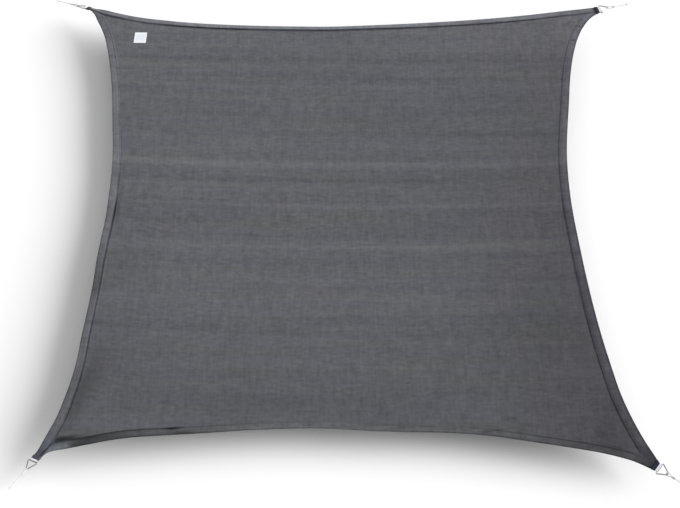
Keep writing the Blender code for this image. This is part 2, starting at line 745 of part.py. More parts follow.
def build_knot(corner, mat):
    angle = np.arange(KNOT_SECTION) * 2 * math.pi / KNOT_SECTION
    sections = []
    for along, radius in KNOT_TABLE:
        a = NOSE_REACH + ROPE_REACH - KNOT_LENGTH * (1 - along)
        sections.append(corner.place(a, radius * np.cos(angle), radius * np.sin(angle)))
    verts, faces = ring_of_sections(np.stack(sections), close=False)
    obj = add_mesh("knot_" + corner.name, verts, faces, mat, True)
    for face in obj.data.polygons[-2:]:
        face.use_smooth = False
    return obj


def orient_outward(obj):
    """Turn every face outward, judged by the signed volume of the closed piece."""
    mesh = obj.data
    total = 0.0
    for face in mesh.polygons:
        spots = [mesh.vertices[k].co for k in face.vertices]
        for k in range(1, len(spots) - 1):
            total += spots[0].dot(spots[k].cross(spots[k + 1]))
    if total < 0.0:
        mesh.flip_normals()


def main():
    for obj in list(bpy.data.objects):
        bpy.data.objects.remove(obj, do_unlink=True)
    mats = {name: material(name) for name in COLOURS}
    pieces = [build_sail(mats["shade_cloth"]), build_label(mats["label_cloth"])]
    for corner in CORNER.values():
        pieces.append(build_binding(corner, mats["binding_cloth"]))
        pieces.append(build_strap(corner, mats["webbing"]))
        pieces.append(build_ring(corner, mats["ring_steel"]))
        pieces.append(build_rope(corner, mats["rope_yarn"]))
        pieces.append(build_seizing(corner, mats["seizing_yarn"]))
        pieces.append(build_knot(corner, mats["rope_yarn"]))
    for obj in pieces:
        if obj.type == "MESH":
            orient_outward(obj)


main()
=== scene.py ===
import math

import bpy
import numpy as np
from mathutils import Matrix, Vector


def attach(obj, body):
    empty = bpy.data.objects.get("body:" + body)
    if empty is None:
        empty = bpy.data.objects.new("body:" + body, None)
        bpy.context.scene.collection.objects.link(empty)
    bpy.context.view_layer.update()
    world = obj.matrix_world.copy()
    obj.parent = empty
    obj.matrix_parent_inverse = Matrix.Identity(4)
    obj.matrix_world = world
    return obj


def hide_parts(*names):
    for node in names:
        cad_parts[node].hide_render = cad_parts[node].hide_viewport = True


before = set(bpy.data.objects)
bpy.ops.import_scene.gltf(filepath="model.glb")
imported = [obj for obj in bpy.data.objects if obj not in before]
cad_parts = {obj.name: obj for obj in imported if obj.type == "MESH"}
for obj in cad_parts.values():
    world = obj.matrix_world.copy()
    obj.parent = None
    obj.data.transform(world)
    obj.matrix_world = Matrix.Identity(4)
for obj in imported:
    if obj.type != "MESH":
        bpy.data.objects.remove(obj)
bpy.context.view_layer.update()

# ---- sizes, the same as the part's
SIDE = 3.48
TWIST = 0.0235
SAG = 0.090
SAG_POWER = 0.85
CLOTH = 0.0015
HEM = 0.003
HEM_WIDTH = 0.048
GAP = 0.00035
TIP_WIDTH = 0.050
NECK = 0.030
TIP_INSET = 0.001
ROLL_FULL = 0.060
ROLL_END = 0.165
BINDING_LENGTH = 0.024
BINDING_WALL = 0.0011
BINDING_ROUND = 0.0016
STRAP = 0.0016
STRAP_REACH = 0.0121
STRAP_WIDTH = 0.0485
STRAP_TONGUE = 0.0225
STRAP_FLAT = 0.002
LOOP_EASE = 0.0002
WIRE = 0.008
RING_SIDE = 0.078
RING_BASE_ROUND = 0.007
RING_NOSE_ROUND = 0.010
ROPE = 0.006
EYE_HALF = 0.0113
EYE_TURN = 0.008
EYE_START = 0.001
EYE_REACH = 0.032
EYE_TILT = 55.0
EYE_CLOSING = 0.9
TURN_SPAN = 75.0
LEGS_HALF = 0.0032
LEGS_STRAIGHT = 0.001
TAIL_END = 0.046
STRAIGHT_FROM = 0.072
ROPE_REACH = 0.150
SEIZING_FROM = 0.033
SEIZING_LENGTH = 0.014
SEIZING_WALL = 0.0014
KNOT_LENGTH = 0.016
LABEL_AT = (0.377, 3.217)
LABEL_SIZE = (0.081, 0.092)
LABEL_TURN = 0.8
LABEL_LEAN = 0.060
LABEL_LIFT = 0.0006
LABEL_THICK = 0.0008
RING_HEIGHT = RING_SIDE * math.sqrt(3.0) / 2.0
NOSE_REACH = STRAP_REACH + RING_HEIGHT - RING_NOSE_ROUND
BINDING_HIGH = HEM / 2 + GAP + STRAP + GAP      # the binding's inner face, off the cloth's middle
NECK_RUN = TIP_WIDTH / 2 + NECK - TIP_INSET     # an edge's run from its tip to its straight part's end

# ---- sizes that only the visual pieces have
EDGE_SAMPLES = 3600                     # points along an edge
EDGE_SKIP, EDGE_STRIDE = 60, 6          # distances to an edge leave out its ends, and take one point in six
CORNER_SEARCH = (2 * TIP_WIDTH, 0.60)   # runs from a tip between which the inner lines of two hems cross
SEARCH_STEPS = 900
INNER_CELLS, END_CROWD = 190, 0.30      # cells across the sheet's middle, and how far they crowd to its ends
ROUND_POINTS = 7                        # points round a corner of an outline
PUCKER, PUCKER_TURN = 0.0004, 70.0      # height of the hem's puckers, and turn per metre
CALM_FROM, CALM_RUN = 0.03, 0.05        # a hem is flat this near a tip, and full this much further away
LABEL_LINES = 25                        # grid lines across the label
LABEL_CURL, LABEL_CURL_RUN = 0.0006, 0.05
LABEL_MARGIN = 0.05                     # its stitches lie this share in from its edges
BINDING_STATIONS, BINDING_POINTS = 13, 64
BINDING_WAVE, BINDING_CREASE = 0.00025, 0.0002      # waves of its outer face, round of its inner corners
BINDING_ROWS = (-0.0205, -0.0040)       # where its rows of stitches lie along the pull
BINDING_SPAN = 0.0215                   # half a row, then a stitch's pitch and length
BINDING_PITCH, BINDING_STEP = 0.0036, 0.0026
STRAP_SECTIONS, STRAP_POINTS = 90, 96
STRAP_ROUND = 0.0006
RING_BEND_STEPS, RING_LEG_STEPS, RING_POINTS = 18, 24, 28
WELD_SWELL, WELD_HALF = 0.06, 0.003
ROPE_SECTIONS, ROPE_POINTS = 190, 30
SEIZING_TURNS = 10
KNOT_SECTIONS, KNOT_POINTS = 41, 36

# stitches: half width, height
HEM_STITCH = (0.0005, 0.0005)
LABEL_STITCH = (0.0003, 0.0004)
BINDING_STITCH = (0.0004, 0.0005)

# along a stitch: share of its length, of its width and of its height
STITCH_SHAPE = [
    (0.00, 0.35, 0.1),
    (0.22, 1.00, 1.0),
    (0.78, 1.00, 1.0),
    (1.00, 0.35, 0.1),
]

# along the knot (0 inner face, 1 outer face), radius
KNOT_TABLE = [
    (0.00, 0.0044),
    (0.08, 0.0058),
    (0.28, 0.0069),
    (0.45, 0.0065),
    (0.62, 0.0068),
    (0.90, 0.0056),
    (1.00, 0.0041),
]

# corner: tip in sides along X and Y, direction of pull, roll of the tip about that line
CORNERS = {
    "front_left": (0, 0, 237.0, 20.0),
    "front_right": (1, 0, 321.0, 9.0),
    "back_right": (1, 1, 15.0, 0.0),
    "back_left": (0, 1, 163.0, 33.0),
}

# side: the axis across it (0 is X), and whether it is the far one
SIDES = {"front": (1, False), "back": (1, True), "left": (0, False), "right": (0, True)}

# each edge: from corner, to corner, then rows of (distance along the side, distance in from the side)
EDGES = {
    "front": ("front_left", "front_right", [
        (0.075, 0.0395), (0.110, 0.0560), (0.150, 0.0660), (0.515, 0.1515), (0.735, 0.1730),
        (0.960, 0.1940), (1.185, 0.2160), (1.640, 0.2350), (1.865, 0.2235), (2.095, 0.2165),
        (2.325, 0.2145), (2.550, 0.1975), (2.775, 0.1605), (3.000, 0.1220), (3.220, 0.0765),
        (3.370, 0.0280),
    ]),
    "back": ("back_left", "back_right", [
        (0.060, -0.0095), (0.090, 0.0045), (0.120, 0.0160), (0.185, 0.0385), (0.295, 0.0685),
        (0.570, 0.1105), (1.110, 0.1430), (1.380, 0.1470), (1.650, 0.1470), (1.920, 0.1350),
        (3.010, 0.0455), (3.285, 0.0055), (3.400, -0.0105),
    ]),
    "left": ("front_left", "back_left", [
        (0.085, 0.0195), (0.120, 0.0345), (0.200, 0.0660), (0.255, 0.0870), (0.390, 0.1235),
        (0.665, 0.1730), (0.800, 0.1835), (1.240, 0.2225), (1.390, 0.2290), (1.540, 0.2415),
        (1.700, 0.2570), (1.850, 0.2640), (2.170, 0.2670), (2.500, 0.2430), (2.840, 0.2105),
        (3.105, 0.1665), (3.210, 0.1415), (3.370, 0.0760), (3.400, 0.0605),
    ]),
    "right": ("front_right", "back_right", [
        (0.090, 0.0170), (0.175, 0.0550), (0.435, 0.1445), (0.710, 0.1990), (1.580, 0.3000),
        (1.890, 0.3195), (2.205, 0.3170), (2.700, 0.2635), (2.865, 0.2435), (3.125, 0.1930),
        (3.230, 0.1605), (3.300, 0.1300), (3.400, 0.0625),
    ]),
}

# soft folds: start x, y and end x, y from the front left tip, half width, height (below 0 a trough)
FOLDS = [
    (0.080, 0.075, 0.250, 0.152, 0.018, 0.008), (0.120, 0.165, 0.330, 0.180, 0.016, -0.005),
    (0.670, 0.226, 0.800, 0.230, 0.014, -0.005), (2.180, 0.262, 2.640, 0.266, 0.020, -0.004),
    (2.540, 0.340, 2.790, 0.240, 0.026, -0.005), (3.130, 0.225, 3.210, 0.195, 0.020, -0.005),
    (0.300, 1.640, 0.330, 2.020, 0.016, -0.006), (0.110, 3.430, 0.420, 3.300, 0.030, 0.006),
    (3.300, 3.430, 3.020, 3.300, 0.030, 0.005), (1.900, 0.180, 2.300, 0.170, 0.040, 0.005),
]

# across the hem, from its outer fold: distance, and heights of both faces over the sheet's under face
HEM_PROFILE = [
    (0.0000, 0.0019, 0.0011), (0.0012, 0.0027, 0.0003), (0.0040, 0.0031, 0.0000),
    (0.0140, 0.0035, -0.0002), (0.0260, 0.0036, -0.0002), (0.0370, 0.0032, 0.0000),
    (0.0415, 0.0019, 0.0005), (0.0445, 0.0029, 0.0001), (0.0480, 0.0026, 0.0000),
]
# the same near a tip, where the binding holds the hem flat: distance, upper face
TIP_PROFILE = [
    (0.0000, 0.0022), (0.0012, 0.0028), (0.0040, 0.0030),
]
HEM_DROP = 0.0014          # run of the step from hem down to sheet
SEAM_AT = 0.0425           # the hem's seam, from its outer fold
FOLD_FADE = 1 / 3          # a fold rises and falls over this share of its length at each end
STITCH_ROWS = (0.0405, 0.0447)
STITCH_PITCH = 0.0075
STITCH_LENGTH = 0.0056
STITCHES_FROM = 0.10       # a row of stitches starts and ends this far from the tips
NEAR_SIDE = 0.60           # distances to an edge are worked out this far in from the straight side
KNIT_COLUMN = 2 * math.pi / 0.0026      # turn per metre of the knit's upright columns, and of its rungs
KNIT_RUNG = 2 * math.pi / 0.0034
WEBBING_RIB = 4200.0       # turn per metre across the webbing
FAR = 0.20                 # distances to an edge are kept up to this

# hem of each side, from the lowest to the one that lies over the others at the corners: its colour, the width
# of its dark outer fold, rows along it: where, tone, seam's distance in, darkness of the seam, of the fold;
# the dark fold and the dark seam are painted shade, and the tone is partly the hem's own grey, partly painted
# light and shade
HEM_LOOKS = {
    "front": ((0.086, 0.089, 0.094), 0.013, [
        (0.12, 1.10, 0.046, 0.00, 0.20), (0.17, 0.95, 0.046, 0.20, 0.30),
        (0.21, 0.50, 0.047, 0.30, 0.30), (0.30, 0.44, 0.048, 0.28, 0.35),
        (0.38, 0.55, 0.048, 0.50, 0.40), (0.50, 0.74, 0.048, 0.50, 0.60),
        (0.75, 0.98, 0.047, 0.48, 0.60), (1.20, 1.22, 0.042, 0.20, 0.40),
        (1.80, 1.26, 0.040, 0.12, 0.30), (2.30, 1.15, 0.040, 0.12, 0.50),
        (2.80, 1.00, 0.044, 0.28, 0.50), (3.20, 0.88, 0.046, 0.55, 0.45),
        (3.34, 0.88, 0.049, 0.60, 0.45), (3.37, 0.88, 0.049, 0.00, 0.45),
    ]),
    "left": ((0.101, 0.105, 0.116), 0.008, [
        (0.00, 1.30, 0.046, 0.50, 0.20), (0.09, 1.08, 0.050, 0.70, 0.40),
        (0.16, 0.90, 0.054, 0.80, 0.50), (0.30, 0.84, 0.053, 0.85, 0.50),
        (0.70, 0.99, 0.048, 0.75, 0.45), (1.00, 0.93, 0.046, 0.50, 0.45),
        (1.20, 0.56, 0.044, 0.38, 0.40), (1.45, 0.95, 0.048, 0.70, 0.45),
        (1.80, 1.00, 0.050, 0.80, 0.35), (2.20, 1.08, 0.053, 0.45, 0.45),
        (2.80, 1.04, 0.052, 0.35, 0.40), (3.10, 0.95, 0.050, 0.05, 0.55),
        (3.34, 0.80, 0.046, 0.00, 0.85),
    ]),
    "right": ((0.0875, 0.0870, 0.1025), 0.017, [
        (0.08, 0.95, 0.062, 0.00, 0.50), (0.12, 1.00, 0.0615, 0.85, 0.55),
        (0.70, 1.16, 0.0615, 0.78, 0.60), (1.20, 1.00, 0.0585, 0.58, 0.50),
        (1.75, 1.12, 0.056, 0.58, 0.32), (2.30, 1.20, 0.054, 0.38, 0.25),
        (2.80, 1.16, 0.054, 0.36, 0.26), (3.15, 1.28, 0.053, 0.30, 0.40),
        (3.32, 1.20, 0.050, 0.05, 0.55),
    ]),
    "back": ((0.083, 0.087, 0.097), 0.006, [
        (0.00, 1.60, 0.042, 0.80, 0.15), (0.10, 1.46, 0.043, 0.90, 0.15),
        (0.30, 1.45, 0.042, 0.90, 0.10), (0.70, 1.66, 0.037, 0.95, 0.10),
        (1.20, 1.66, 0.033, 1.10, 0.05), (1.80, 1.62, 0.031, 0.98, 0.05),
        (2.30, 1.62, 0.037, 0.90, 0.10), (2.80, 1.48, 0.041, 0.85, 0.10),
        (3.20, 1.36, 0.044, 0.75, 0.15), (3.36, 1.20, 0.044, 0.45, 0.15),
    ]),
}

# greys of the cloth's yarns and patches, of the painted shade along the seams, and near the front right
# corner
COOL_GREY = (0.0840, 0.0864, 0.0965)
WARM_GREY = (0.0875, 0.0893, 0.0935)
PLUM_GREY = (0.0915, 0.0890, 0.0985)
SEAM_SHADE_GREY = (0.072, 0.074, 0.100)
CORNER_GREY = (0.0895, 0.0860, 0.0995)

# the knit's unevenness: noise per metre along X and along Y, layer, detail, lighter or darker by
KNIT_NOISE = [
    (0.35, 13.0, 1.3, 1.0, 0.10), (1.1, 29.0, 7.4, 0.0, 0.08), (42.0, 42.0, 4.1, 1.0, 0.18),
    (16.0, 52.0, 8.8, 1.0, 0.22), (66.0, 7.0, 2.2, 0.0, 0.13), (20.0, 9.0, 6.1, 1.0, 0.10),
    (1.5, 2.2, 5.9, 1.0, 0.07),
]

# bands across the whole knit: where along Y, half width, lighter or darker
BANDS = [
    (3.165, 0.110, 0.06), (3.050, 0.035, -0.09), (2.990, 0.035, 0.06), (2.830, 0.022, 0.08),
    (2.430, 0.050, -0.06), (2.185, 0.040, 0.14), (2.070, 0.035, -0.09), (1.865, 0.030, 0.12),
    (1.800, 0.170, -0.07), (1.545, 0.060, 0.12), (1.150, 0.050, 0.06), (0.960, 0.120, -0.07),
]

# painted shade in creases and streaks (gain below 0) and painted highlight on ridges (gain above 0): the hem
# they are drawn after, from x, y to x, y, half width, gain
CREASES = [
    ("front", -0.050, 0.095, 0.330, 0.165, 0.036, -0.80),
    ("front", 0.200, 0.140, 0.420, 0.165, 0.024, -0.24),
    ("front", 0.170, 0.078, 0.350, 0.108, 0.030, -0.36),
    ("front", 0.010, 0.012, 0.215, 0.112, 0.050, 0.62),
    ("front", 0.060, 0.060, 0.420, 0.950, 0.110, -0.26),
    ("front", 0.060, -0.100, 0.240, 0.620, 0.110, -0.14),
    ("front", 0.668, 0.2160, 0.816, 0.2225, 0.017, -1.00),
    ("front", 0.640, 0.184, 0.980, 0.197, 0.016, -0.50),
    ("front", 2.440, 0.215, 2.680, 0.245, 0.012, -0.35),
    ("front", 2.560, 0.285, 2.800, 0.345, 0.020, -0.12),
    ("front", 3.020, 0.190, 3.110, 0.150, 0.018, -0.25),
    ("front", 3.100, 0.172, 3.400, 0.090, 0.008, -0.25),
    ("front", 3.220, 0.000, 3.310, 0.700, 0.110, -0.12),
    ("left", 0.322, 1.930, 0.294, 1.610, 0.010, -0.75),
    ("left", -0.030, 3.510, 0.110, 3.360, 0.022, -0.55),
    ("left", -0.008, -0.030, 0.090, 0.108, 0.013, -0.60),
    ("right", 3.300, 3.395, 3.230, 3.330, 0.014, -0.30),
    ("right", 3.262, 3.215, 3.314, 3.205, 0.018, -0.45),
    ("right", 3.300, 3.338, 3.362, 3.322, 0.016, -0.40),
    ("right", 3.360, 3.410, 3.410, 3.378, 0.012, 0.22),
    ("back", 0.040, 3.446, 0.330, 3.352, 0.011, -0.45),
    ("right", 3.180, 3.420, 3.150, 3.250, 0.016, -0.14),
    ("right", 3.120, 0.300, 3.330, 0.050, 0.100, -0.14),
]

# cloth near a tip: corner, from, full at, colour taken on, how much of it, how much darker
TIP_SHADES = [
    ("front_left", 0.240, 0.100, (0.080, 0.090, 0.110), 0.70, 0.00),
    ("front_right", 0.150, 0.120, (0.066, 0.066, 0.082), 0.50, 0.10),
    ("front_right", 0.070, 0.020, (0.040, 0.050, 0.068), 0.35, 0.20),
    ("back_right", 0.050, 0.025, (0.040, 0.050, 0.068), 0.60, 0.50),
    ("back_left", 0.045, 0.020, (0.060, 0.066, 0.078), 0.40, 0.00),
]

# the bound end of each corner: one binding cloth, given a lighter or darker grey at each corner as painted
# light and shade
BINDING_LIT_AND_SHADED_GREYS = {
    "front_left": (0.070, 0.082, 0.096),
    "front_right": (0.015, 0.020, 0.036),
    "back_right": (0.018, 0.022, 0.032),
    "back_left": (0.032, 0.036, 0.042),
}


def add_object(name, data):
    obj = bpy.data.objects.new(name, data)
    bpy.context.scene.collection.objects.link(obj)
    return obj


# ---- camera
def set_camera():
    """The camera that sees the four tips of the cloth where the picture has them."""
    target = Vector((1.7039, 1.4333, 0.0)) - Vector(ORIGIN)
    azimuth, elevation, roll = math.radians(-2.476), math.radians(54.572), math.radians(2.559)
    distance = 10.056
    forward = Vector((
        -math.sin(azimuth) * math.cos(elevation),
        math.cos(azimuth) * math.cos(elevation),
        -math.sin(elevation),
    ))
    right = Vector((math.cos(azimuth), math.sin(azimuth), 0.0))
    up = right.cross(forward)
    tilted_right = right * math.cos(roll) + up * math.sin(roll)
    tilted_up = up * math.cos(roll) - right * math.sin(roll)
    place = target - forward * distance
    data = bpy.data.cameras.new("camera")
    data.sensor_width = 36.0
    data.lens = 87.467
    data.clip_end = 200.0
    camera = add_object("camera", data)
    camera.matrix_world = Matrix((
        (tilted_right.x, tilted_up.x, -forward.x, place.x),
        (tilted_right.y, tilted_up.y, -forward.y, place.y),
        (tilted_right.z, tilted_up.z, -forward.z, place.z),
        (0, 0, 0, 1),
    ))
    bpy.context.scene.camera = camera


# ---- shape tools
def smooth(t):
    """0 to 1 with level ends: 3 t squared less 2 t cubed."""
    t = np.clip(t, 0.0, 1.0)
    return t * t * (3.0 - 2.0 * t)


def unit(v):
    return v / np.maximum(np.linalg.norm(v, axis=-1, keepdims=True), 1e-12)


def run_along(points):
    """The distance along a line of points at each of them."""
    return np.concatenate([[0.0], np.cumsum(np.linalg.norm(np.diff(points, axis=0), axis=1))])


def read_at(where, run, columns):
    """Columns given along a run, read between their rows at other places along it."""
    return np.stack([np.interp(where, run, column) for column in columns.T], axis=-1)


def through(rows, where):
    """A smooth curve through the rows, spaced by their distances: a cubic between each two rows, whose slope
    at a row is the mean of the chords beside it, each weighted by the other's length."""
    rows = np.asarray(rows, float)
    run = run_along(rows)
    step = np.diff(run)[:, None]
    chord = np.diff(rows, axis=0) / step
    inside = (chord[:-1] * step[1:] + chord[1:] * step[:-1]) / (step[1:] + step[:-1])
    slope = np.vstack([chord[:1], inside, chord[-1:]])
    where = np.clip(where, 0.0, 1.0) * run[-1]
    k = np.clip(np.searchsorted(run, where, side="right") - 1, 0, len(step) - 1)
    h = step[k]
    t = ((where - run[k]) / h[:, 0])[:, None]
    return (
        rows[k] * (1 + 2 * t) * (1 - t) ** 2
        + slope[k] * h * t * (1 - t) ** 2
        + rows[k + 1] * t * t * (3 - 2 * t)
        - slope[k + 1] * h * t * t * (1 - t)
    )


def circle(count):
    """Angles evenly round a circle."""
    return np.arange(count) * 2 * math.pi / count


def ripple(x, seed):
    """Uneven waves of about one unit's length and height: three sines whose periods share no multiple."""
    return (
        np.sin(x * 1.00 + seed * 1.7)
        + 0.6 * np.sin(x * 2.37 + seed * 3.1)
        + 0.4 * np.sin(x * 5.11 + seed * 0.9)
    ) / 2.0


class Corner:
    """A corner's own frame: along the pull, across it, and off the cloth, from the cloth's end."""

    def __init__(self, name):
        at_x, at_y, pull, roll = CORNERS[name]
        self.name = name
        self.plan = np.array([at_x * SIDE, at_y * SIDE])
        self.tip = np.array([at_x * SIDE, at_y * SIDE, TWIST if at_x == at_y else -TWIST])
        self.roll = math.radians(roll)
        angle = math.radians(pull)
        self.pull = np.array([math.cos(angle), math.sin(angle), 0.0])
        self.side = np.array([-math.sin(angle), math.cos(angle), 0.0])
        self.across = self.side * math.cos(self.roll) + np.array([0.0, 0.0, math.sin(self.roll)])
        self.off = np.cross(self.pull, self.across)
        tilt = math.radians(EYE_TILT)
        self.spread = self.across * math.cos(tilt) + self.off * math.sin(tilt)
        self.rise = np.cross(self.pull, self.spread)

    def place(self, a, b, c, across=None, off=None):
        a, b, c = np.broadcast_arrays(np.asarray(a, float), b, c)
        across = self.across if across is None else across
        off = self.off if off is None else off
        return self.tip + a[..., None] * self.pull + b[..., None] * across + c[..., None] * off - ORIGIN

    def place_rope(self, a, b, c):
        """The same, from the ring's nose and in the plane of the rope's eye."""
        return self.place(NOSE_REACH + a, b, c, self.spread, self.rise)


ORIGIN = np.zeros(3)
CORNER = {name: Corner(name) for name in CORNERS}
ORIGIN = CORNER["front_left"].tip + CORNER["front_left"].pull * (NOSE_REACH - WIRE / 2)


def height(x, y):
    """Under face over the plan: a twist between the tips, a sag that is the product of two parabolas to a
    power, the folds as bell-shaped ridges, and all of it level at each tip."""
    u = np.clip(x / SIDE, 0.0, 1.0)
    v = np.clip(y / SIDE, 0.0, 1.0)
    z = TWIST * (1 - 2 * u) * (1 - 2 * v) - SAG * (16.0 * u * (1 - u) * v * (1 - v)) ** SAG_POWER
    for x0, y0, x1, y1, half, rise in FOLDS:
        dx, dy = x1 - x0, y1 - y0
        length = math.hypot(dx, dy)
        along = ((x - x0) * dx + (y - y0) * dy) / length ** 2
        beside = ((x - x0) * dy - (y - y0) * dx) / length
        ends = smooth(along / FOLD_FADE) * smooth((1 - along) / FOLD_FADE)
        z = z + rise * np.exp(-((beside / half) ** 2)) * ends
    for corner in CORNER.values():
        far = np.hypot(x - corner.plan[0], y - corner.plan[1])
        w = smooth((far - ROLL_FULL) / (ROLL_END - ROLL_FULL))
        z = corner.tip[2] + (z - corner.tip[2]) * w
    return z


def surface(x, y):
    """Plan position to hanging position: the height, then a turn about each tip's line of pull, which falls
    with the square of what is left of the way to where it ends."""
    spot = np.stack([x, y, height(x, y)], axis=-1)
    for corner in CORNER.values():
        rel = spot - corner.tip
        far = np.hypot(rel[..., 0], rel[..., 1])
        angle = corner.roll * np.clip((ROLL_END - far) / (ROLL_END - ROLL_FULL), 0.0, 1.0) ** 2
        a, b, c = rel @ corner.pull, rel @ corner.side, rel[..., 2]
        turned_b = b * np.cos(angle) - c * np.sin(angle)
        turned_c = b * np.sin(angle) + c * np.cos(angle)
        spot = corner.tip + a[..., None] * corner.pull + turned_b[..., None] * corner.side
        spot[..., 2] += turned_c
    return spot


def surface_normal(x, y, step=0.0005):
    du = surface(x + step, y) - surface(x - step, y)
    dv = surface(x, y + step) - surface(x, y - step)
    return unit(np.cross(du, dv))


def on_cloth(plan, lift):
    """Points a lift over the hanging cloth's under face, and the face's normals there."""
    x, y = plan[..., 0], plan[..., 1]
    normal = surface_normal(x, y)
    return surface(x, y) + normal * (np.asarray(lift)[..., None] - HEM / 2) - ORIGIN, normal


# ---- outline
def side_point(edge, along, inset):
    axis, far_side = SIDES[edge]
    across = SIDE - inset if far_side else inset
    return (along, across) if axis else (across, along)


def tip_points(corner, edge):
    """The cut end of the cloth at a corner, on the side of this edge: middle and end corner."""
    axis, far_side = SIDES[edge]
    middle = corner.plan - TIP_INSET * corner.pull[:2]
    across = corner.side[:2] * TIP_WIDTH / 2
    if (across[axis] < 0) == far_side:
        across = -across
    return [middle, middle + across]


class Edge:
    """One edge of the cloth as a dense plan curve with its inward normals."""

    def __init__(self, name):
        start, end, rows = EDGES[name]
        first, last = tip_points(CORNER[start], name), tip_points(CORNER[end], name)
        curve = [first[1]] + [np.array(side_point(name, *row)) for row in rows] + [last[1]]
        dense = through(curve, np.linspace(0.0, 1.0, EDGE_SAMPLES))
        self.points = np.vstack([first[0], dense, last[0]])
        self.run = run_along(self.points)
        tangent = unit(np.gradient(self.points, axis=0))
        turn = 1.0 if name in ("front", "right") else -1.0
        self.inward = turn * np.stack([-tangent[:, 1], tangent[:, 0]], axis=1)
        self.length = self.run[-1]

    def at(self, run):
        return read_at(run, self.run, self.points)

    def inner(self, run, depth):
        return self.at(run) + depth * unit(read_at(run, self.run, self.inward))

    def shoulder(self, corner):
        """Where the straight part of this edge beside a corner ends: along its pull, and across it."""
        first, last = (np.linalg.norm(self.points[k] - corner.plan) for k in (0, -1))
        rel = self.at(NECK_RUN if first < last else self.length - NECK_RUN) - corner.plan
        return rel @ corner.pull[:2], rel @ corner.side[:2]

    def distance(self, spots):
        """Distance in the plan from each spot to this edge, kept up to FAR."""
        line = self.points[EDGE_SKIP:-EDGE_SKIP:EDGE_STRIDE]
        gap = np.linalg.norm(spots[:, None] - line[None], axis=2)
        near = np.clip(gap.argmin(axis=1), 1, len(line) - 2)
        along = unit(line[near + 1] - line[near - 1])
        rel = spots - line[near]
        beside = np.abs(rel[:, 0] * along[:, 1] - rel[:, 1] * along[:, 0])
        return np.minimum(np.where(gap.min(axis=1) < FAR, beside, FAR), FAR)


EDGE = {name: Edge(name) for name in EDGES}


def meet(corner):
    """Where the hems' inner lines cross near a corner: the run on each of its edges, and the crossing."""
    reach = np.linspace(*CORNER_SEARCH, SEARCH_STEPS)
    names = [name for name in EDGES if corner in EDGES[name][:2]]
    runs = [EDGE[name].length - reach if EDGES[name][1] == corner else reach for name in names]
    one, two = (EDGE[name].inner(run, HEM_WIDTH) for name, run in zip(names, runs))
    gap = np.linalg.norm(one[:, None] - two[None], axis=2)
    i, j = np.unravel_index(np.argmin(gap), gap.shape)
    return {names[0]: runs[0][i], names[1]: runs[1][j]}, (one[i] + two[j]) / 2


MEET = {name: meet(name) for name in CORNERS}


def plan_grid(across):
    """Plan positions of the sheet's grid, and each line's distance in from the hem's outer fold. across are
    the distances of the hem's lines from the fold. Corner blocks and the middle are blended from their four
    sides."""
    rim = len(across) - 1
    size = 2 * rim + INNER_CELLS + 3
    lo, hi = rim, size - 1 - rim
    span, thin = slice(lo, hi + 1), slice(lo + 1, hi)
    even = np.linspace(0.0, 1.0, INNER_CELLS + 1)
    frac = (1 - END_CROWD) * even + END_CROWD * (0.5 - 0.5 * np.cos(np.pi * even))
    share = across / across[-1]
    w = share[:, None]
    grid = np.zeros((size, size, 2))
    inner = {}
    for name, edge in EDGE.items():
        axis, far_side = SIDES[name]
        # the same grid as this side sees it: along the side, then in from it
        view = grid if axis else grid.transpose(1, 0, 2)
        view = view[:, ::-1] if far_side else view
        start, end, _ = EDGES[name]
        low, high = MEET[start][0][name], MEET[end][0][name]
        tip = [0.0, TIP_WIDTH / 2]
        begin = np.concatenate([tip, np.linspace(NECK_RUN, low, rim - 1)])
        close = edge.length - np.concatenate([tip, np.linspace(NECK_RUN, edge.length - high, rim - 1)])[::-1]
        run = np.concatenate([begin, low + HEM_DROP + (high - low - 2 * HEM_DROP) * frac, close])
        view[:, 0] = edge.at(run)
        inner[name] = edge.inner(run[span], HEM_WIDTH)
        inner[name][0], inner[name][-1] = MEET[start][1], MEET[end][1]
        view[span, :lo + 1] = view[span, :1] * (1 - w) + inner[name][:, None] * w
        view[thin, lo + 1] = edge.inner(run[thin], HEM_WIDTH + HEM_DROP)

    def blend(i0, i1, j0, j1, u, v):
        u, v = u[:, None, None], v[None, :, None]
        a, b = grid[i0:i1 + 1, j0][:, None], grid[i0:i1 + 1, j1][:, None]
        c, d = grid[i0, j0:j1 + 1][None], grid[i1, j0:j1 + 1][None]
        twice = (
            (1 - u) * (1 - v) * grid[i0, j0] + u * (1 - v) * grid[i1, j0]
            + (1 - u) * v * grid[i0, j1] + u * v * grid[i1, j1]
        )
        grid[i0:i1 + 1, j0:j1 + 1] = (1 - v) * a + v * b + (1 - u) * c + u * d - twice

    blocks = ((0, lo, share), (hi, size - 1, 1 - share[::-1]))
    for i0, i1, u in blocks:
        for j0, j1, v in blocks:
            blend(i0, i1, j0, j1, u, v)
    for name, (at_x, at_y, _, _) in CORNERS.items():
        beside = [inner[edge][1 if EDGES[edge][0] == name else -2] for edge in MEET[name][0]]
        at = tuple(hi - 1 if far_side else lo + 1 for far_side in (at_x, at_y))
        grid[at] = beside[0] + beside[1] - MEET[name][1]
    blend(lo + 1, hi - 1, lo + 1, hi - 1, frac, frac)

    line = np.full(size, np.inf)
    line[:lo + 1] = across
    line[hi:] = across[::-1]
    return grid, line


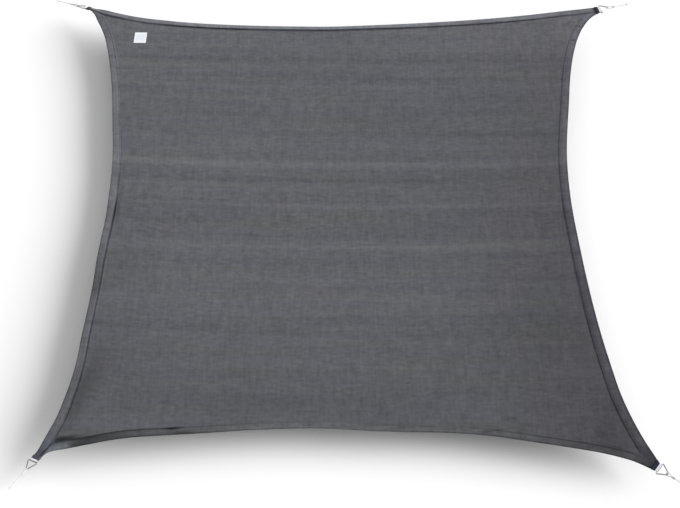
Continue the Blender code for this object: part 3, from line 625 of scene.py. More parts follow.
# ---- meshes
def new_mesh(name, verts, quads, material, tris=(), floats=None):
    """A closed smooth-shaded mesh object from arrays, turned right side out by its signed volume. floats are
    point attributes."""
    verts = np.ascontiguousarray(verts, np.float32).reshape(-1, 3)
    quads = np.asarray(quads, np.int32).reshape(-1, 4)
    tris = np.asarray(tris, np.int32).reshape(-1, 3)
    halves = np.vstack([quads[:, [0, 1, 2]], quads[:, [0, 2, 3]], tris])
    a, b, c = (verts[halves[:, k]].astype(float) for k in range(3))
    if (np.cross(a, b) * c).sum() < 0.0:
        quads, tris = quads[:, ::-1], tris[:, ::-1]
    mesh = bpy.data.meshes.new(name)
    mesh.vertices.add(len(verts))
    mesh.vertices.foreach_set("co", verts.ravel())
    mesh.loops.add(quads.size + tris.size)
    mesh.loops.foreach_set("vertex_index", np.concatenate([quads.ravel(), tris.ravel()]))
    mesh.polygons.add(len(quads) + len(tris))
    sizes = np.concatenate([np.full(len(quads), 4), np.full(len(tris), 3)]).astype(np.int32)
    mesh.polygons.foreach_set("loop_start", (np.cumsum(sizes) - sizes).astype(np.int32))
    mesh.update(calc_edges=True)
    mesh.polygons.foreach_set("use_smooth", np.full(len(sizes), True))
    for key, values in (floats or {}).items():
        kind, field = ("FLOAT_VECTOR", "vector") if values.ndim == 2 else ("FLOAT", "value")
        layer = mesh.attributes.new(key, kind, "POINT")
        layer.data.foreach_set(field, np.ascontiguousarray(values, np.float32).ravel())
    mesh.validate()
    mesh.materials.append(material)
    return add_object(name, mesh)


def skin_quads(count, per, close):
    """Quads over a row of count equal closed sections of per points each."""
    i, j = np.meshgrid(np.arange(count if close else count - 1), np.arange(per), indexing="ij")
    n, m = (i + 1) % count, (j + 1) % per
    return np.stack([i * per + j, i * per + m, n * per + m, n * per + j], axis=-1).reshape(-1, 4)


def rim_of(grid):
    """The outer points of a grid, once round."""
    return np.concatenate([grid[:-1, 0], grid[-1, :-1], grid[:0:-1, -1], grid[0, :0:-1]])


def slab_mesh(name, over, under, material, floats):
    """A closed sheet between an upper and an under grid of the same size. floats are given for one grid."""
    index = np.arange(over[..., 0].size).reshape(over.shape[:2])
    face = [index[:-1, :-1], index[1:, :-1], index[1:, 1:], index[:-1, 1:]]
    quads = np.stack(face, axis=-1).reshape(-1, 4)
    rim = rim_of(index)
    after = np.roll(rim, -1)
    wall = np.stack([rim, rim + index.size, after + index.size, after], axis=1)
    verts = np.vstack([over.reshape(-1, 3), under.reshape(-1, 3)])
    quads = np.vstack([quads, quads[:, ::-1] + index.size, wall])
    floats = {key: np.concatenate([values, values]) for key, values in floats.items()}
    return new_mesh(name, verts, quads, material, floats=floats)


def tube_mesh(name, sections, material, close=False, floats=None):
    """Skin over a row of equal closed sections, closed on itself or with a fan of triangles at each end."""
    count, per = sections.shape[:2]
    verts, tris = sections.reshape(-1, 3), ()
    if not close:
        j = np.arange(per)
        after, end = (j + 1) % per, (count - 1) * per
        first, last = np.full(per, len(verts)), np.full(per, len(verts) + 1)
        tris = np.stack([np.concatenate([first, last]), np.concatenate([after, end + j]),
                         np.concatenate([j, end + after])], axis=1)
        verts = np.vstack([verts, sections[0].mean(axis=0), sections[-1].mean(axis=0)])
    return new_mesh(name, verts, skin_quads(count, per, close), material, tris, floats)


def rounded_outline(low, high, half_high, radius, count):
    """Count points evenly round a rectangle with round corners, from low to high across and half_high to
    each side."""
    angle = np.linspace(0.0, math.pi / 2, ROUND_POINTS)
    middle, half_wide = (low + high) / 2, (high - low) / 2
    signs = ((1, 1), (-1, 1), (-1, -1), (1, -1))
    line = np.vstack([
        np.stack([
            middle + sx * (half_wide - radius) + radius * np.cos(angle + quarter * math.pi / 2),
            sy * (half_high - radius) + radius * np.sin(angle + quarter * math.pi / 2),
        ], axis=1)
        for quarter, (sx, sy) in enumerate(signs)
    ])
    line = np.vstack([line, line[:1]])
    run = run_along(line)
    return read_at(np.arange(count) / count * run[-1], run, line)


def off_line(line, out, close=False):
    """Places off a line in its own plane, out to the left of its direction: their first and second
    coordinates, a row for each point of the line."""
    ahead = np.roll(line, -1, axis=0) - np.roll(line, 1, axis=0) if close else np.gradient(line, axis=0)
    tangent = unit(ahead)
    return line[:, :1] - tangent[:, 1:] * out, line[:, 1:] + tangent[:, :1] * out


def finish_piece(obj, slot, *nodes):
    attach(obj, "root")
    if nodes:
        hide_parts(*nodes)
    return obj


def stitches(name, slot, rows, half_wide, high, material):
    """A joined mesh of low stitches. A row holds their starts, their ends and the normals of the face that
    they lie on. Each is a three-sided bead, full width over its middle, narrow and low at both ends."""
    starts, ends, ups = (np.vstack(part) for part in zip(*rows))
    side = unit(np.cross(ups, unit(ends - starts)))
    reach, width, lift = np.array(STITCH_SHAPE).T
    base = starts[:, None] + (ends - starts)[:, None] * reach[None, :, None]
    wide = side[:, None] * (half_wide * width)[None, :, None]
    crown = base + ups[:, None] * (high * lift)[None, :, None]
    verts = np.stack([base + wide, crown, base - wide], axis=2)
    count, stations, corners = verts.shape[:3]
    offset = np.arange(count)[:, None, None] * stations * corners
    end = (stations - 1) * corners
    quads = skin_quads(stations, corners, close=False)[None] + offset
    caps = np.array([[2, 1, 0], [end, end + 1, end + 2]])[None] + offset
    finish_piece(new_mesh(name, verts, quads, material, caps), slot)


# ---- shaders
class Value:
    """A value in a material's node tree: arithmetic on it adds a Math node."""

    def __init__(self, shader, out):
        self.shader = shader
        self.out = out

    def math(self, operation, *others):
        sockets = dict(enumerate((self, *others)))
        return self.shader.value(0, "ShaderNodeMath", {"operation": operation}, sockets)

    def __add__(self, other):
        return self.math("ADD", other)

    __radd__ = __add__

    def __mul__(self, other):
        return self.math("MULTIPLY", other)

    __rmul__ = __mul__

    def __sub__(self, other):
        return self.math("SUBTRACT", other)

    def __rsub__(self, other):
        return (self * -1.0) + other

    def step(self, low, high):
        """0 at low, 1 at high, with level ends."""
        sockets = {"Value": self, "From Min": low, "From Max": high}
        settings = {"interpolation_type": "SMOOTHSTEP"}
        return self.shader.value("Result", "ShaderNodeMapRange", settings, sockets)

    def bell(self, middle, half):
        """1 at middle, falling to 0 half away."""
        return (self - middle).math("ABSOLUTE").step(half, 0.0)


class Shader:
    """A material with a Principled shader, and the few nodes that its looks use."""

    def __init__(self, name, colour, roughness, metallic=0.0, specular=0.5):
        self.material = bpy.data.materials.new(name)
        self.material.use_nodes = True
        self.material.diffuse_color = (*colour, 1.0)
        self.tree = self.material.node_tree
        self.principled = self.tree.nodes["Principled BSDF"]
        self.join(self.principled.inputs["Base Color"], colour)
        self.join(self.principled.inputs["Roughness"], roughness)
        self.join(self.principled.inputs["Metallic"], metallic)
        self.join(self.principled.inputs["Specular IOR Level"], specular)
        self.x, self.y, self.z = self.split(self.value("Object", "ShaderNodeTexCoord"))

    def join(self, slot, value):
        if isinstance(value, Value):
            self.tree.links.new(value.out, slot)
        elif isinstance(value, tuple) and slot.type == "RGBA":
            slot.default_value = (*value, 1.0)
        else:
            slot.default_value = value

    def node(self, kind, settings=None, sockets=None):
        """A node of a kind, with its settings first and then what its sockets hold or link to."""
        made = self.tree.nodes.new(kind)
        for key, value in (settings or {}).items():
            setattr(made, key, value)
        for key, value in (sockets or {}).items():
            self.join(made.inputs[key], value)
        return made

    def value(self, output, kind, settings=None, sockets=None):
        """One output of a new node."""
        return Value(self, self.node(kind, settings, sockets).outputs[output])

    def attribute(self, name, output="Fac"):
        return self.value(output, "ShaderNodeAttribute", {"attribute_name": name})

    def split(self, vector):
        return [Value(self, out) for out in self.node("ShaderNodeSeparateXYZ", sockets={0: vector}).outputs]

    def length(self, x, y):
        return (x * x + y * y).math("SQRT")

    def crease(self, x, y, x0, y0, x1, y1, half, gain):
        """gain on the line between two plan positions, falling to 0 half beside it and at both ends."""
        long = math.hypot(x1 - x0, y1 - y0)
        ux, uy = (x1 - x0) / long, (y1 - y0) / long
        along = x * ux + y * uy - (x0 * ux + y0 * uy)
        beside = x * uy - y * ux - (x0 * uy - y0 * ux)
        return beside.bell(0.0, half) * along.bell(long / 2, long / 2) * gain

    def noise(self, x, y, z=0.0, detail=0.0):
        """Noise from -1 to 1 over the three coordinates given."""
        spot = self.value(0, "ShaderNodeCombineXYZ", sockets={0: x, 1: y, 2: z})
        sockets = {"Vector": spot, "Scale": 1.0, "Detail": detail}
        return self.value("Fac", "ShaderNodeTexNoise", sockets=sockets) * 2.0 - 1.0

    def grain(self, scale, detail=0.0):
        """Noise that is as fine in every direction."""
        return self.noise(self.x * scale, self.y * scale, self.z * scale, detail)

    def mix(self, factor, one, two):
        """A colour between two colours, each a triple or a Value."""
        return self.value(2, "ShaderNodeMix", {"data_type": "RGBA"}, {"Factor": factor, 6: one, 7: two})

    def scaled(self, colour, factor):
        """A colour times a value."""
        return self.value(0, "ShaderNodeVectorMath", {"operation": "SCALE"}, {0: colour, "Scale": factor})

    def colour(self, value):
        self.join(self.principled.inputs["Base Color"], value)

    def bump(self, value, distance, strength=1.0):
        sockets = {"Height": value, "Distance": distance, "Strength": strength}
        self.join(self.principled.inputs["Normal"], self.value(0, "ShaderNodeBump", sockets=sockets))


def cloth_shader():
    """Knitted tape yarn: level bands, dashes and faint upright columns, patches of warmer and cooler grey,
    and painted shade darker to the front and the right. Each hem has its own grey, a dark outer fold of
    painted shade and a seam darkened by painted shade, its tone partly painted light and shade, and lies over
    the one before.
    Creases carry painted shade and ridges painted highlight, and the cloth round each tip is darker or
    lighter."""
    s = Shader("shade_cloth", (0.086, 0.087, 0.095), 0.85, specular=0.15)
    x, y = s.x + float(ORIGIN[0]), s.y + float(ORIGIN[1])
    tone = 1.0
    for per_x, per_y, layer, detail, gain in KNIT_NOISE:
        tone = tone + s.noise(x * per_x, y * per_y, layer, detail) * gain
    for middle, half, gain in BANDS:
        tone = tone + y.bell(middle, half) * gain
    # painted light and shade over the whole cloth: darker towards the front and the right, lighter towards
    # the back
    painted_light_shade = (
        0.98 + y.step(3.00, 3.30) * 0.08 - y.step(1.15, 0.35) * 0.13 - x.step(2.25, 3.20) * 0.09
        - x.step(2.35, 3.25) * y.step(2.9, 1.7) * 0.12 - x.step(2.05, 2.70) * y.bell(1.10, 0.55) * 0.08
        - x.step(0.80, 0.30) * y.bell(1.40, 1.30) * 0.09
        + (x.step(2.20, 2.90) * 0.07 + 0.02) * y.step(3.12, 3.34)
    )
    yarns = s.noise(x * 1.1, y * 17.0, 9.4, detail=1.0).step(-0.25, 0.45)
    patches = (s.noise(x * 6.0, y * 4.0, 3.4) * 0.6 + x.step(2.2, 3.5) * 0.7).step(0.15, 0.75)
    base = s.mix(patches, s.mix(yarns, COOL_GREY, WARM_GREY), PLUM_GREY)

    shade = 1.0
    uneven = s.noise(x * 5.0, y * 5.0, 6.6).step(-0.50, 0.30) * 0.2 + 0.8
    streaks = s.noise(x * 2.2, y * 2.2, 1.0).step(-0.05, 0.35) * 0.22
    rumples = s.noise(x * 15.0 + y * 9.0, y * 15.0, 3.3, detail=1.0) * 0.18
    for name, (grey, fold_width, _) in HEM_LOOKS.items():
        far, fold_shade = s.attribute("from_" + name), s.attribute("fold_" + name)
        # each hem's tone along its side is partly its own grey, partly painted light and shade
        hem_tone, seam_at, seam_shade = s.split(s.attribute("hem_" + name, "Vector"))
        from_seam = far - seam_at
        inside = from_seam.step(0.0075, 0.0045)
        # painted shade along the hem's seam, where the hem steps down to the sheet
        seam = from_seam.bell(0.0, 0.013 if name == "back" else 0.009) * seam_shade * uneven
        lines = (far.bell(0.020, 0.004) + far.bell(0.030, 0.004)) * streaks
        # painted shade on the hem's outer fold
        fold = far.step(fold_width, 0.0005)
        # the right hem gets a second band of painted shade a little in from its fold
        if name == "right":
            fold = fold + far.bell(0.0125, 0.006) * 0.3
        dark = fold * fold_shade + lines + rumples
        shade = ((1.0 - dark) * hem_tone * inside + (1.0 - inside) * shade) * (1.0 - seam)
        # the seam's painted shade also turns the colour toward a darker blue grey
        base = s.mix(seam * 0.6, s.mix(inside, base, grey), SEAM_SHADE_GREY)
        # painted shade and highlight of the creases drawn over this hem
        for under, *row in CREASES:
            if under == name:
                shade = shade * (1.0 + s.crease(x, y, *row))
    base = s.mix(x.step(2.50, 3.20) * y.step(0.90, 0.30) * 0.7, base, CORNER_GREY)
    for name, start, full, colour, depth, darker in TIP_SHADES:
        plan = CORNER[name].plan
        near = s.length(x - float(plan[0]), y - float(plan[1])).step(start, full)
        base = s.mix(near * depth, base, colour)
        shade = shade * (1.0 - near * darker)
    # the colour is the knit's tone times the painted light and shade over the cloth, the hems and the creases
    s.colour(s.scaled(base, tone * painted_light_shade * shade))
    columns = (x * KNIT_COLUMN).math("SINE") * 0.5
    rungs = (y * KNIT_RUNG + columns * 2.0).math("SINE") * 0.5
    s.bump(columns + rungs + s.noise(x * 420.0, y * 60.0) * 0.5, 0.0003, 0.45)
    return s.material


def webbing_shader():
    """White webbing: fine ribs along it, and a dark brown band of painted shade on its turn round the bar."""
    s = Shader("webbing", (0.80, 0.81, 0.84), 0.70, specular=0.2)
    # painted shade: the turn round the bar is painted dark brown
    turn_shade = s.attribute("along").bell(0.5, 0.16)
    mottle = s.grain(300.0).step(-0.5, 0.5)
    s.colour(s.mix(turn_shade, s.mix(mottle, (0.78, 0.79, 0.82), (0.86, 0.87, 0.89)), (0.155, 0.125, 0.110)))
    s.bump((s.attribute("beside") * WEBBING_RIB).math("SINE"), 0.00012)
    return s.material


def rope_shader():
    """Light grey twisted yarn, with painted shade in the grooves between its strands."""
    s = Shader("rope_yarn", (0.66, 0.66, 0.65), 0.75, specular=0.2)
    fibres = s.grain(900.0, detail=1.0)
    # painted shade in the grooves, read from the groove attribute
    yarn = s.mix(s.attribute("groove"), (0.74, 0.75, 0.75), (0.38, 0.38, 0.37))
    s.colour(s.scaled(yarn, fibres * 0.25 + 1.0))
    s.bump(fibres, 0.0001)
    return s.material


def steel_shader():
    """Drawn steel wire, a little uneven in gloss."""
    s = Shader("ring_steel", (0.43, 0.43, 0.42), 0.32, metallic=1.0)
    s.join(s.principled.inputs["Roughness"], s.grain(260.0, detail=2.0) * 0.12 + 0.32)
    return s.material


def label_shader():
    """A bare woven patch: near white, with a faint cooler field inside its border."""
    s = Shader("label_cloth", (0.63, 0.65, 0.70), 0.60, specular=0.3)
    u, v = s.attribute("label_u"), s.attribute("label_v")
    field = (u - 0.5).math("ABSOLUTE").step(0.40, 0.34) * (v - 0.5).math("ABSOLUTE").step(0.38, 0.30)
    weave = s.noise(s.x * 900.0, s.y * 500.0, 0.0) * 0.08 + 1.0
    s.colour(s.scaled(s.mix(field * 0.8, (0.68, 0.69, 0.72), (0.57, 0.60, 0.67)), weave))
    return s.material


def yarn_shader(name, colour):
    """Thread or binding of one colour, finely mottled."""
    s = Shader(name, colour, 0.80, specular=0.2)
    s.colour(s.scaled(colour, s.grain(700.0) * 0.3 + 1.0))
    return s.material


# ---- pieces
def build_sail(material):
    """The hanging surface as two grids a cloth's or a hem's thickness apart, with a wall between their rims.
    The hem swells between its fold and its seam, and its seam puckers a little along its length."""
    at, upper, lower = np.array(HEM_PROFILE).T
    grid, line = plan_grid(at)
    x, y = grid[..., 0], grid[..., 1]
    inset = np.minimum(line[:, None], line[None, :])
    hem = np.isfinite(inset)
    inset = np.where(hem, inset, 0.0)
    swell = np.sin(np.clip(inset / SEAM_AT, 0, 1) * np.pi)
    pucker = PUCKER * swell * ripple((x + y) * PUCKER_TURN, 2.0)
    top = np.where(hem, np.interp(inset, at, upper) + pucker, CLOTH)
    low = np.where(hem, np.interp(inset, at, lower), 0.0)
    tips = np.min([np.hypot(x - c.plan[0], y - c.plan[1]) for c in CORNER.values()], axis=0)
    calm = smooth((tips - CALM_FROM) / CALM_RUN)
    flat_top = np.where(hem, np.interp(inset, *np.array(TIP_PROFILE).T), CLOTH)
    floats = {}
    spots = grid.reshape(-1, 2)
    for name, (_, _, rows) in HEM_LOOKS.items():
        axis, far_side = SIDES[name]
        from_side = SIDE - spots[:, axis] if far_side else spots[:, axis]
        near = from_side < NEAR_SIDE
        far = np.full(len(spots), FAR)
        far[near] = EDGE[name].distance(spots[near])
        rows = np.array(rows)
        looks = read_at(spots[:, 1 - axis], rows[:, 0], rows[:, 1:])
        floats["from_" + name] = far
        floats["hem_" + name] = looks[:, :3]
        floats["fold_" + name] = looks[:, 3]
    over, _ = on_cloth(grid, top * calm + flat_top * (1 - calm))
    under, _ = on_cloth(grid, low * calm)
    obj = slab_mesh("sail_cloth", over, under, material, floats)
    finish_piece(obj, "shade_cloth", "sail")


def build_hem_stitches(material):
    """Two rows of stitches beside each hem's seam, on both faces of the cloth."""
    at, upper, lower = np.array(HEM_PROFILE).T
    for name, face, lifts in (("hem_stitches_upper", 1.0, upper), ("hem_stitches_under", -1.0, lower)):
        rows = []
        for edge in EDGE.values():
            for depth in STITCH_ROWS:
                run = np.arange(STITCHES_FROM, edge.length - STITCHES_FROM, STITCH_PITCH)
                lift = np.interp(depth, at, lifts)
                start, up = on_cloth(edge.inner(run, depth), lift)
                end, _ = on_cloth(edge.inner(run + STITCH_LENGTH, depth), lift)
                rows.append((start, end, up * face))
        stitches(name, "shade_cloth", rows, *HEM_STITCH, material)


def build_label(material, thread):
    """A bare patch on the cloth that lifts a little at its edges, with a row of stitches round it."""
    turn = math.radians(LABEL_TURN)

    def plan(u, v):
        du, dv = (u - 0.5) * LABEL_SIZE[0], (v - 0.5) * LABEL_SIZE[1]
        x = LABEL_AT[0] + du * math.cos(turn) + dv * LABEL_LEAN
        return np.stack([x, LABEL_AT[1] + du * math.sin(turn) + dv], axis=-1)

    u, v = np.meshgrid(*[np.linspace(0.0, 1.0, LABEL_LINES)] * 2, indexing="ij")
    edge = np.minimum(np.minimum(u, 1 - u), np.minimum(v, 1 - v))
    wave = 1 + 0.6 * ripple(14 * (u + 1.7 * v), 3.0)
    lift = CLOTH + LABEL_LIFT + LABEL_CURL * np.exp(-edge / LABEL_CURL_RUN) * wave
    under, _ = on_cloth(plan(u, v), lift)
    over, _ = on_cloth(plan(u, v), lift + LABEL_THICK)
    obj = slab_mesh("label_patch", over, under, material, {"label_u": u.ravel(), "label_v": v.ravel()})
    finish_piece(obj, "label_cloth", "label")
    t = np.linspace(LABEL_MARGIN, 1 - LABEL_MARGIN, LABEL_LINES)
    low, high = np.full_like(t, LABEL_MARGIN), np.full_like(t, 1 - LABEL_MARGIN)
    sides = [(t, low), (high, t), (t[::-1], high), (low, t[::-1])]
    line = np.concatenate([np.stack(side, axis=1) for side in sides])
    close = line * 0.3 + np.roll(line, -1, axis=0) * 0.7
    lift = CLOTH + LABEL_LIFT + LABEL_THICK + 0.0003
    start, up = on_cloth(plan(*line.T), lift)
    end, _ = on_cloth(plan(*close.T), lift)
    stitches("label_stitches", "label_cloth", [(start, end, up)], *LABEL_STITCH, thread)


def build_binding(corner, material):
    """A tapered sleeve round the cloth's end: round-cornered outlines that widen with the cloth, carried
    along the pull on the outside and back on the inside, the outer face a little wavy."""
    shoulders = [EDGE[name].shoulder(corner) for name in MEET[corner.name][0]]
    outside, inside = [], []
    for a in np.linspace(-BINDING_LENGTH, 0.0, BINDING_STATIONS):
        ends = []
        for far, beside in shoulders:
            slope = (abs(beside) - TIP_WIDTH / 2) / (-TIP_INSET - far)
            reach = TIP_WIDTH / 2 + slope * max(-TIP_INSET - a, 0.0) + GAP * math.hypot(1.0, slope)
            ends.append(math.copysign(reach, beside))
        low, high = sorted(ends)
        rim = 1.0 - 0.35 * math.exp(-min(a + BINDING_LENGTH, -a) / 0.0008)
        wall = BINDING_WALL * rim
        high_wall = BINDING_HIGH + wall
        outer = rounded_outline(low - wall, high + wall, high_wall, BINDING_ROUND * rim, BINDING_POINTS)
        wave = ripple(outer[:, 0] * 260.0 + a * 300.0, corner.plan.sum())
        outer[:, 1] += np.sign(outer[:, 1]) * BINDING_WAVE * wave
        inner = rounded_outline(low, high, BINDING_HIGH, BINDING_CREASE, BINDING_POINTS)
        outside.append(corner.place(a, *outer.T))
        inside.append(corner.place(a, *inner.T))
    sections = np.stack(outside + inside[::-1])
    obj = tube_mesh("corner_binding_" + corner.name, sections, material, close=True)
    finish_piece(obj, "binding_cloth", "binding_" + corner.name)


def build_binding_stitches(material):
    """Two rows of stitches across both faces of every binding, which hold it to the strap and the cloth."""
    high = BINDING_HIGH + BINDING_WALL + 0.0001
    b = np.arange(-BINDING_SPAN, BINDING_SPAN, BINDING_PITCH)
    rows = []
    for corner in CORNER.values():
        for a in BINDING_ROWS:
            for face in (1.0, -1.0):
                start, end = (corner.place(a, spot, face * high) for spot in (b, b + BINDING_STEP))
                rows.append((start, end, np.broadcast_to(corner.off * face, (len(b), 3))))
    stitches("binding_stitches", "binding_cloth", rows, *BINDING_STITCH, material)


def build_strap(corner, material):
    """A flat round-edged section carried along the webbing's line: a tongue over the cloth, once round the
    ring's bar, and a tongue under the cloth."""
    flat = HEM / 2 + GAP + STRAP / 2
    radius = WIRE / 2 + GAP + LOOP_EASE + STRAP / 2
    turn = np.radians(np.linspace(90.0, -90.0, 13))
    rows = [(-STRAP_TONGUE, flat), (-STRAP_TONGUE / 2, flat), (STRAP_FLAT, flat)]
    rows += [(STRAP_REACH + radius * math.cos(t), radius * math.sin(t)) for t in turn]
    rows += [(a, -c) for a, c in rows[2::-1]]
    where = np.linspace(0.0, 1.0, STRAP_SECTIONS)
    outline = rounded_outline(-STRAP_WIDTH / 2, STRAP_WIDTH / 2, STRAP / 2, STRAP_ROUND, STRAP_POINTS)
    wide, thick = outline.T
    a, c = off_line(through(rows, where), thick)
    floats = {
        "along": np.concatenate([np.repeat(where, len(wide)), [0.0, 1.0]]),
        "beside": np.concatenate([np.tile(wide, len(where)), [0.0, 0.0]]),
    }
    obj = tube_mesh("corner_strap_" + corner.name, corner.place(a, wide, c), material, floats=floats)
    finish_piece(obj, "webbing", "strap_" + corner.name)


def ring_line():
    """Centre line of the wire in the ring's plane, distance beyond the cloth's end and across: three arcs,
    each of which touches two sides of the triangle, and the straight legs between them."""
    corners = [
        (STRAP_REACH, -RING_SIDE / 2, RING_BASE_ROUND),
        (STRAP_REACH + RING_HEIGHT, 0.0, RING_NOSE_ROUND),
        (STRAP_REACH, RING_SIDE / 2, RING_BASE_ROUND),
    ]
    tan_half = math.tan(math.radians(30.0))
    bend = np.linspace(0.0, 1.0, RING_BEND_STEPS + 1)
    leg = np.linspace(0.0, 1.0, RING_LEG_STEPS + 1)[1:-1, None]
    parts = []
    for k, (a, b, radius) in enumerate(corners):
        after_a, after_b, after_radius = corners[(k + 1) % 3]
        here, following = np.array([a, b]), np.array([after_a, after_b])
        before = unit(np.array(corners[k - 1][:2]) - here)
        after = unit(following - here)
        reach = radius / tan_half
        centre = here + unit(before + after) * radius * 2.0
        start, end = here + before * reach - centre, here + after * reach - centre
        first = math.atan2(start[1], start[0])
        sweep = (math.atan2(end[1], end[0]) - first + math.pi) % (2 * math.pi) - math.pi
        angle = first + sweep * bend
        parts.append(centre + radius * np.stack([np.cos(angle), np.sin(angle)], axis=1))
        parts.append((here + after * reach) * (1 - leg) + (following - after * after_radius / tan_half) * leg)
    return np.vstack(parts)


def build_ring(corner, material):
    """A round section carried along the wire's line, swollen a little at the weld in one leg."""
    line = ring_line()
    weld = line[len(line) // 3 - RING_LEG_STEPS // 2]
    swell = 1.0 + WELD_SWELL * np.exp(-((np.linalg.norm(line - weld, axis=1) / WELD_HALF) ** 2))
    angle = circle(RING_POINTS)
    radius = WIRE / 2 * swell[:, None]
    a, b = off_line(line, radius * np.cos(angle), close=True)
    sections = corner.place(a, b, radius * np.sin(angle))
    obj = tube_mesh("ring_wire_" + corner.name, sections, material, close=True)
    finish_piece(obj, "ring_steel", "ring_" + corner.name)


def rope_line():
    """The rope's centre line in its own plane, distance beyond the nose and across the eye: the cut tail
    beside the standing part, the eye through the ring, the seized legs, and the straight run to the knot."""
    closing = np.linspace(0.0, 1.0, 9)
    leg_a = -EYE_START + (EYE_REACH + EYE_START) * closing
    leg_e = LEGS_HALF + (EYE_HALF - LEGS_HALF) * (0.5 + 0.5 * np.cos(np.pi * closing ** EYE_CLOSING))
    under = SEIZING_FROM + LEGS_STRAIGHT
    start = SEIZING_FROM + SEIZING_LENGTH
    turn = np.radians(np.linspace(-TURN_SPAN, TURN_SPAN, 11))
    steps = np.linspace(0.0, 1.0, 6)[1:]
    end = ROPE_REACH - KNOT_LENGTH - GAP
    rows = np.vstack([
        [(TAIL_END, -LEGS_HALF), (under, -LEGS_HALF)],
        np.stack([leg_a, -leg_e], axis=1)[::-1],
        np.stack([-EYE_START - EYE_TURN * np.cos(turn), EYE_HALF * np.sin(turn)], axis=1),
        np.stack([leg_a, leg_e], axis=1),
        [(under, LEGS_HALF), (start, LEGS_HALF)],
        np.stack([start + (STRAIGHT_FROM - start) * steps, LEGS_HALF * (1 - smooth(steps))], axis=1),
        np.stack([STRAIGHT_FROM + (end - STRAIGHT_FROM) * steps, 0 * steps], axis=1),
    ])
    return through(rows, np.linspace(0.0, 1.0, ROPE_SECTIONS))


def build_rope(corner, material, pieces):
    """Three strands twisted together, as one section of three lobes that turns as it goes along the rope's
    line. A lobe is a strand's circle seen from the rope's middle, no deeper between two strands than a
    groove's floor."""
    line = rope_line()
    run = run_along(line)
    strand, lay, floor = 0.464 * ROPE, 3.3 * ROPE, 0.30 * ROPE
    middle = ROPE / 2 - strand / 2
    around = circle(ROPE_POINTS)
    beside = (around + math.pi / 3) % (2 * math.pi / 3) - math.pi / 3
    depth = np.maximum((strand / 2) ** 2 - (middle * np.sin(beside)) ** 2, 0.0)
    radius = np.maximum(middle * np.cos(beside) + np.sqrt(depth), floor)
    angle = around[None] + 2 * math.pi * run[:, None] / lay
    shrink = np.clip((run + 0.0004) / 0.0012, 0.0, 1.0)[:, None] ** 0.5
    a, e = off_line(line, shrink * radius * np.cos(angle))
    sections = corner.place_rope(a, e, shrink * radius * np.sin(angle))
    # how deep each point lies between the strands: where the rope's shader paints shade
    groove = np.tile(1 - (radius - radius.min()) / (radius.max() - radius.min()), len(line))
    floats = {"groove": np.concatenate([groove, [0.0, 0.0]])}
    obj = tube_mesh("rope_" + corner.name + "_twisted", sections, material, floats=floats)
    finish_piece(obj, "rope_yarn", "rope_" + corner.name)
    path = corner.place_rope(line[:, 0], line[:, 1], 0.0)
    path[::4].tolist() + [path[-1].tolist()]


def build_seizing(corner, material):
    """Turns of twine wound round the two legs of the eye: a stadium section whose wall swells over each
    turn."""
    along = np.linspace(0.0, 1.0, SEIZING_TURNS * 6 + 1)[:, None]
    arc = np.radians(np.linspace(-90.0, 90.0, 13))
    centres = np.repeat([LEGS_HALF, -LEGS_HALF], len(arc))
    normal = np.stack([np.cos(arc), np.sin(arc)])
    normal_b, normal_c = np.hstack([normal, -normal])
    slant = np.linspace(0.0, 1.0, len(centres), endpoint=False)
    inner = (ROPE / 2 + GAP) * 1.02
    swell = np.abs(np.sin(math.pi * (SEIZING_TURNS * along + slant)))

    def stadium(along, radius):
        a = SEIZING_FROM + SEIZING_LENGTH * along
        return corner.place_rope(a, centres + radius * normal_b, radius * normal_c)

    outside = stadium(along, inner + SEIZING_WALL * (0.50 + 0.50 * swell))
    inside = stadium(np.array([[1.0], [0.0]]), inner)
    obj = tube_mesh("wound_seizing_" + corner.name, np.concatenate([outside, inside]), material, close=True)
    return finish_piece(obj, "seizing_yarn", "seizing_" + corner.name)


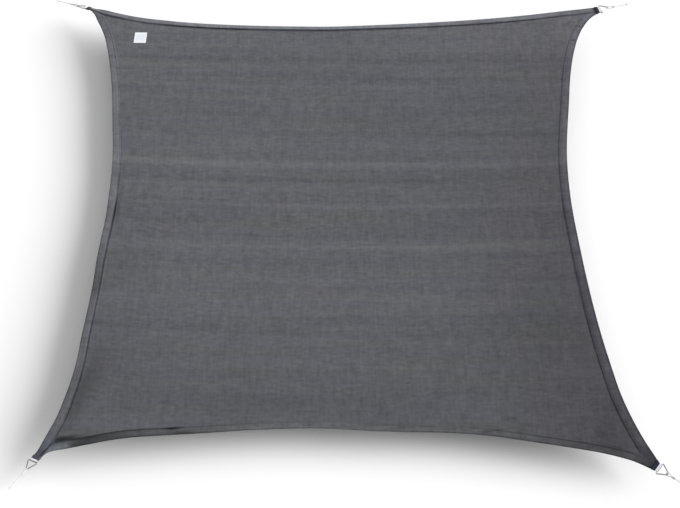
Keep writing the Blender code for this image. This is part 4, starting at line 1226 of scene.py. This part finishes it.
def build_knot(corner, material):
    """A stopper knot: a barrel of the table's radii, with a ridge that winds three times round it."""
    along = np.linspace(0.0, 1.0, KNOT_SECTIONS)[:, None]
    barrel = np.interp(along, *np.array(KNOT_TABLE).T)
    angle = circle(KNOT_POINTS)
    ridge = np.abs(np.cos(3 * math.pi * along + angle / 2))
    radius = barrel * (0.86 + 0.17 * ridge)
    a = NOSE_REACH + ROPE_REACH - KNOT_LENGTH * (1 - along)
    sections = corner.place(a, radius * np.cos(angle), radius * np.sin(angle))
    # how deep each point lies between the knot's ridges: where the rope's shader paints shade
    floats = {"groove": np.concatenate([((1 - ridge) ** 2).ravel(), [0.0, 0.0]])}
    obj = tube_mesh("stopper_knot_" + corner.name, sections, material, floats=floats)
    return finish_piece(obj, "rope_yarn", "knot_" + corner.name)


def set_studio():
    """A wide pale floor under the sail, one soft low sun from the right, and an even white sky."""
    span, level = 30.0, -0.26
    corners = [(-span, -span, level), (span, -span, level), (span, span, level), (-span, span, level)]
    data = bpy.data.meshes.new("floor")
    data.from_pydata(corners, [], [(0, 1, 2, 3)])
    data.materials.append(Shader("floor", (0.80, 0.80, 0.80), 0.9).material)
    add_object("floor", data)

    sun_data = bpy.data.lights.new("sun", "SUN")
    sun_data.energy = 4.4
    sun_data.angle = math.radians(48.0)
    sun = add_object("sun", sun_data)
    toward = Vector((1.65, -0.05, 1.0)).normalized()
    sun.rotation_mode = "QUATERNION"
    sun.rotation_quaternion = toward.to_track_quat("Z", "Y")

    world = bpy.data.worlds.new("world")
    bpy.context.scene.world = world
    world.use_nodes = True
    background = world.node_tree.nodes["Background"]
    background.inputs["Color"].default_value = (1, 1, 1, 1)
    background.inputs["Strength"].default_value = 0.62
    bpy.context.scene.view_settings.view_transform = "Standard"


def main():
    set_camera()
    build_sail(cloth_shader())
    build_hem_stitches(yarn_shader("hem_thread", (0.030, 0.030, 0.036)))
    build_label(label_shader(), yarn_shader("label_thread", (0.45, 0.46, 0.48)))
    webbing, steel, rope = webbing_shader(), steel_shader(), rope_shader()
    twine = yarn_shader("seizing_yarn", (0.60, 0.60, 0.60))
    for name, corner in CORNER.items():
        # each corner's binding grey carries painted light and shade
        build_binding(corner, yarn_shader("binding_" + name, BINDING_LIT_AND_SHADED_GREYS[name]))
        build_strap(corner, webbing)
        build_ring(corner, steel)
        build_rope(corner, rope, [build_seizing(corner, twine), build_knot(corner, rope)])
    build_binding_stitches(yarn_shader("binding_thread", (0.045, 0.045, 0.055)))
    set_studio()


main()
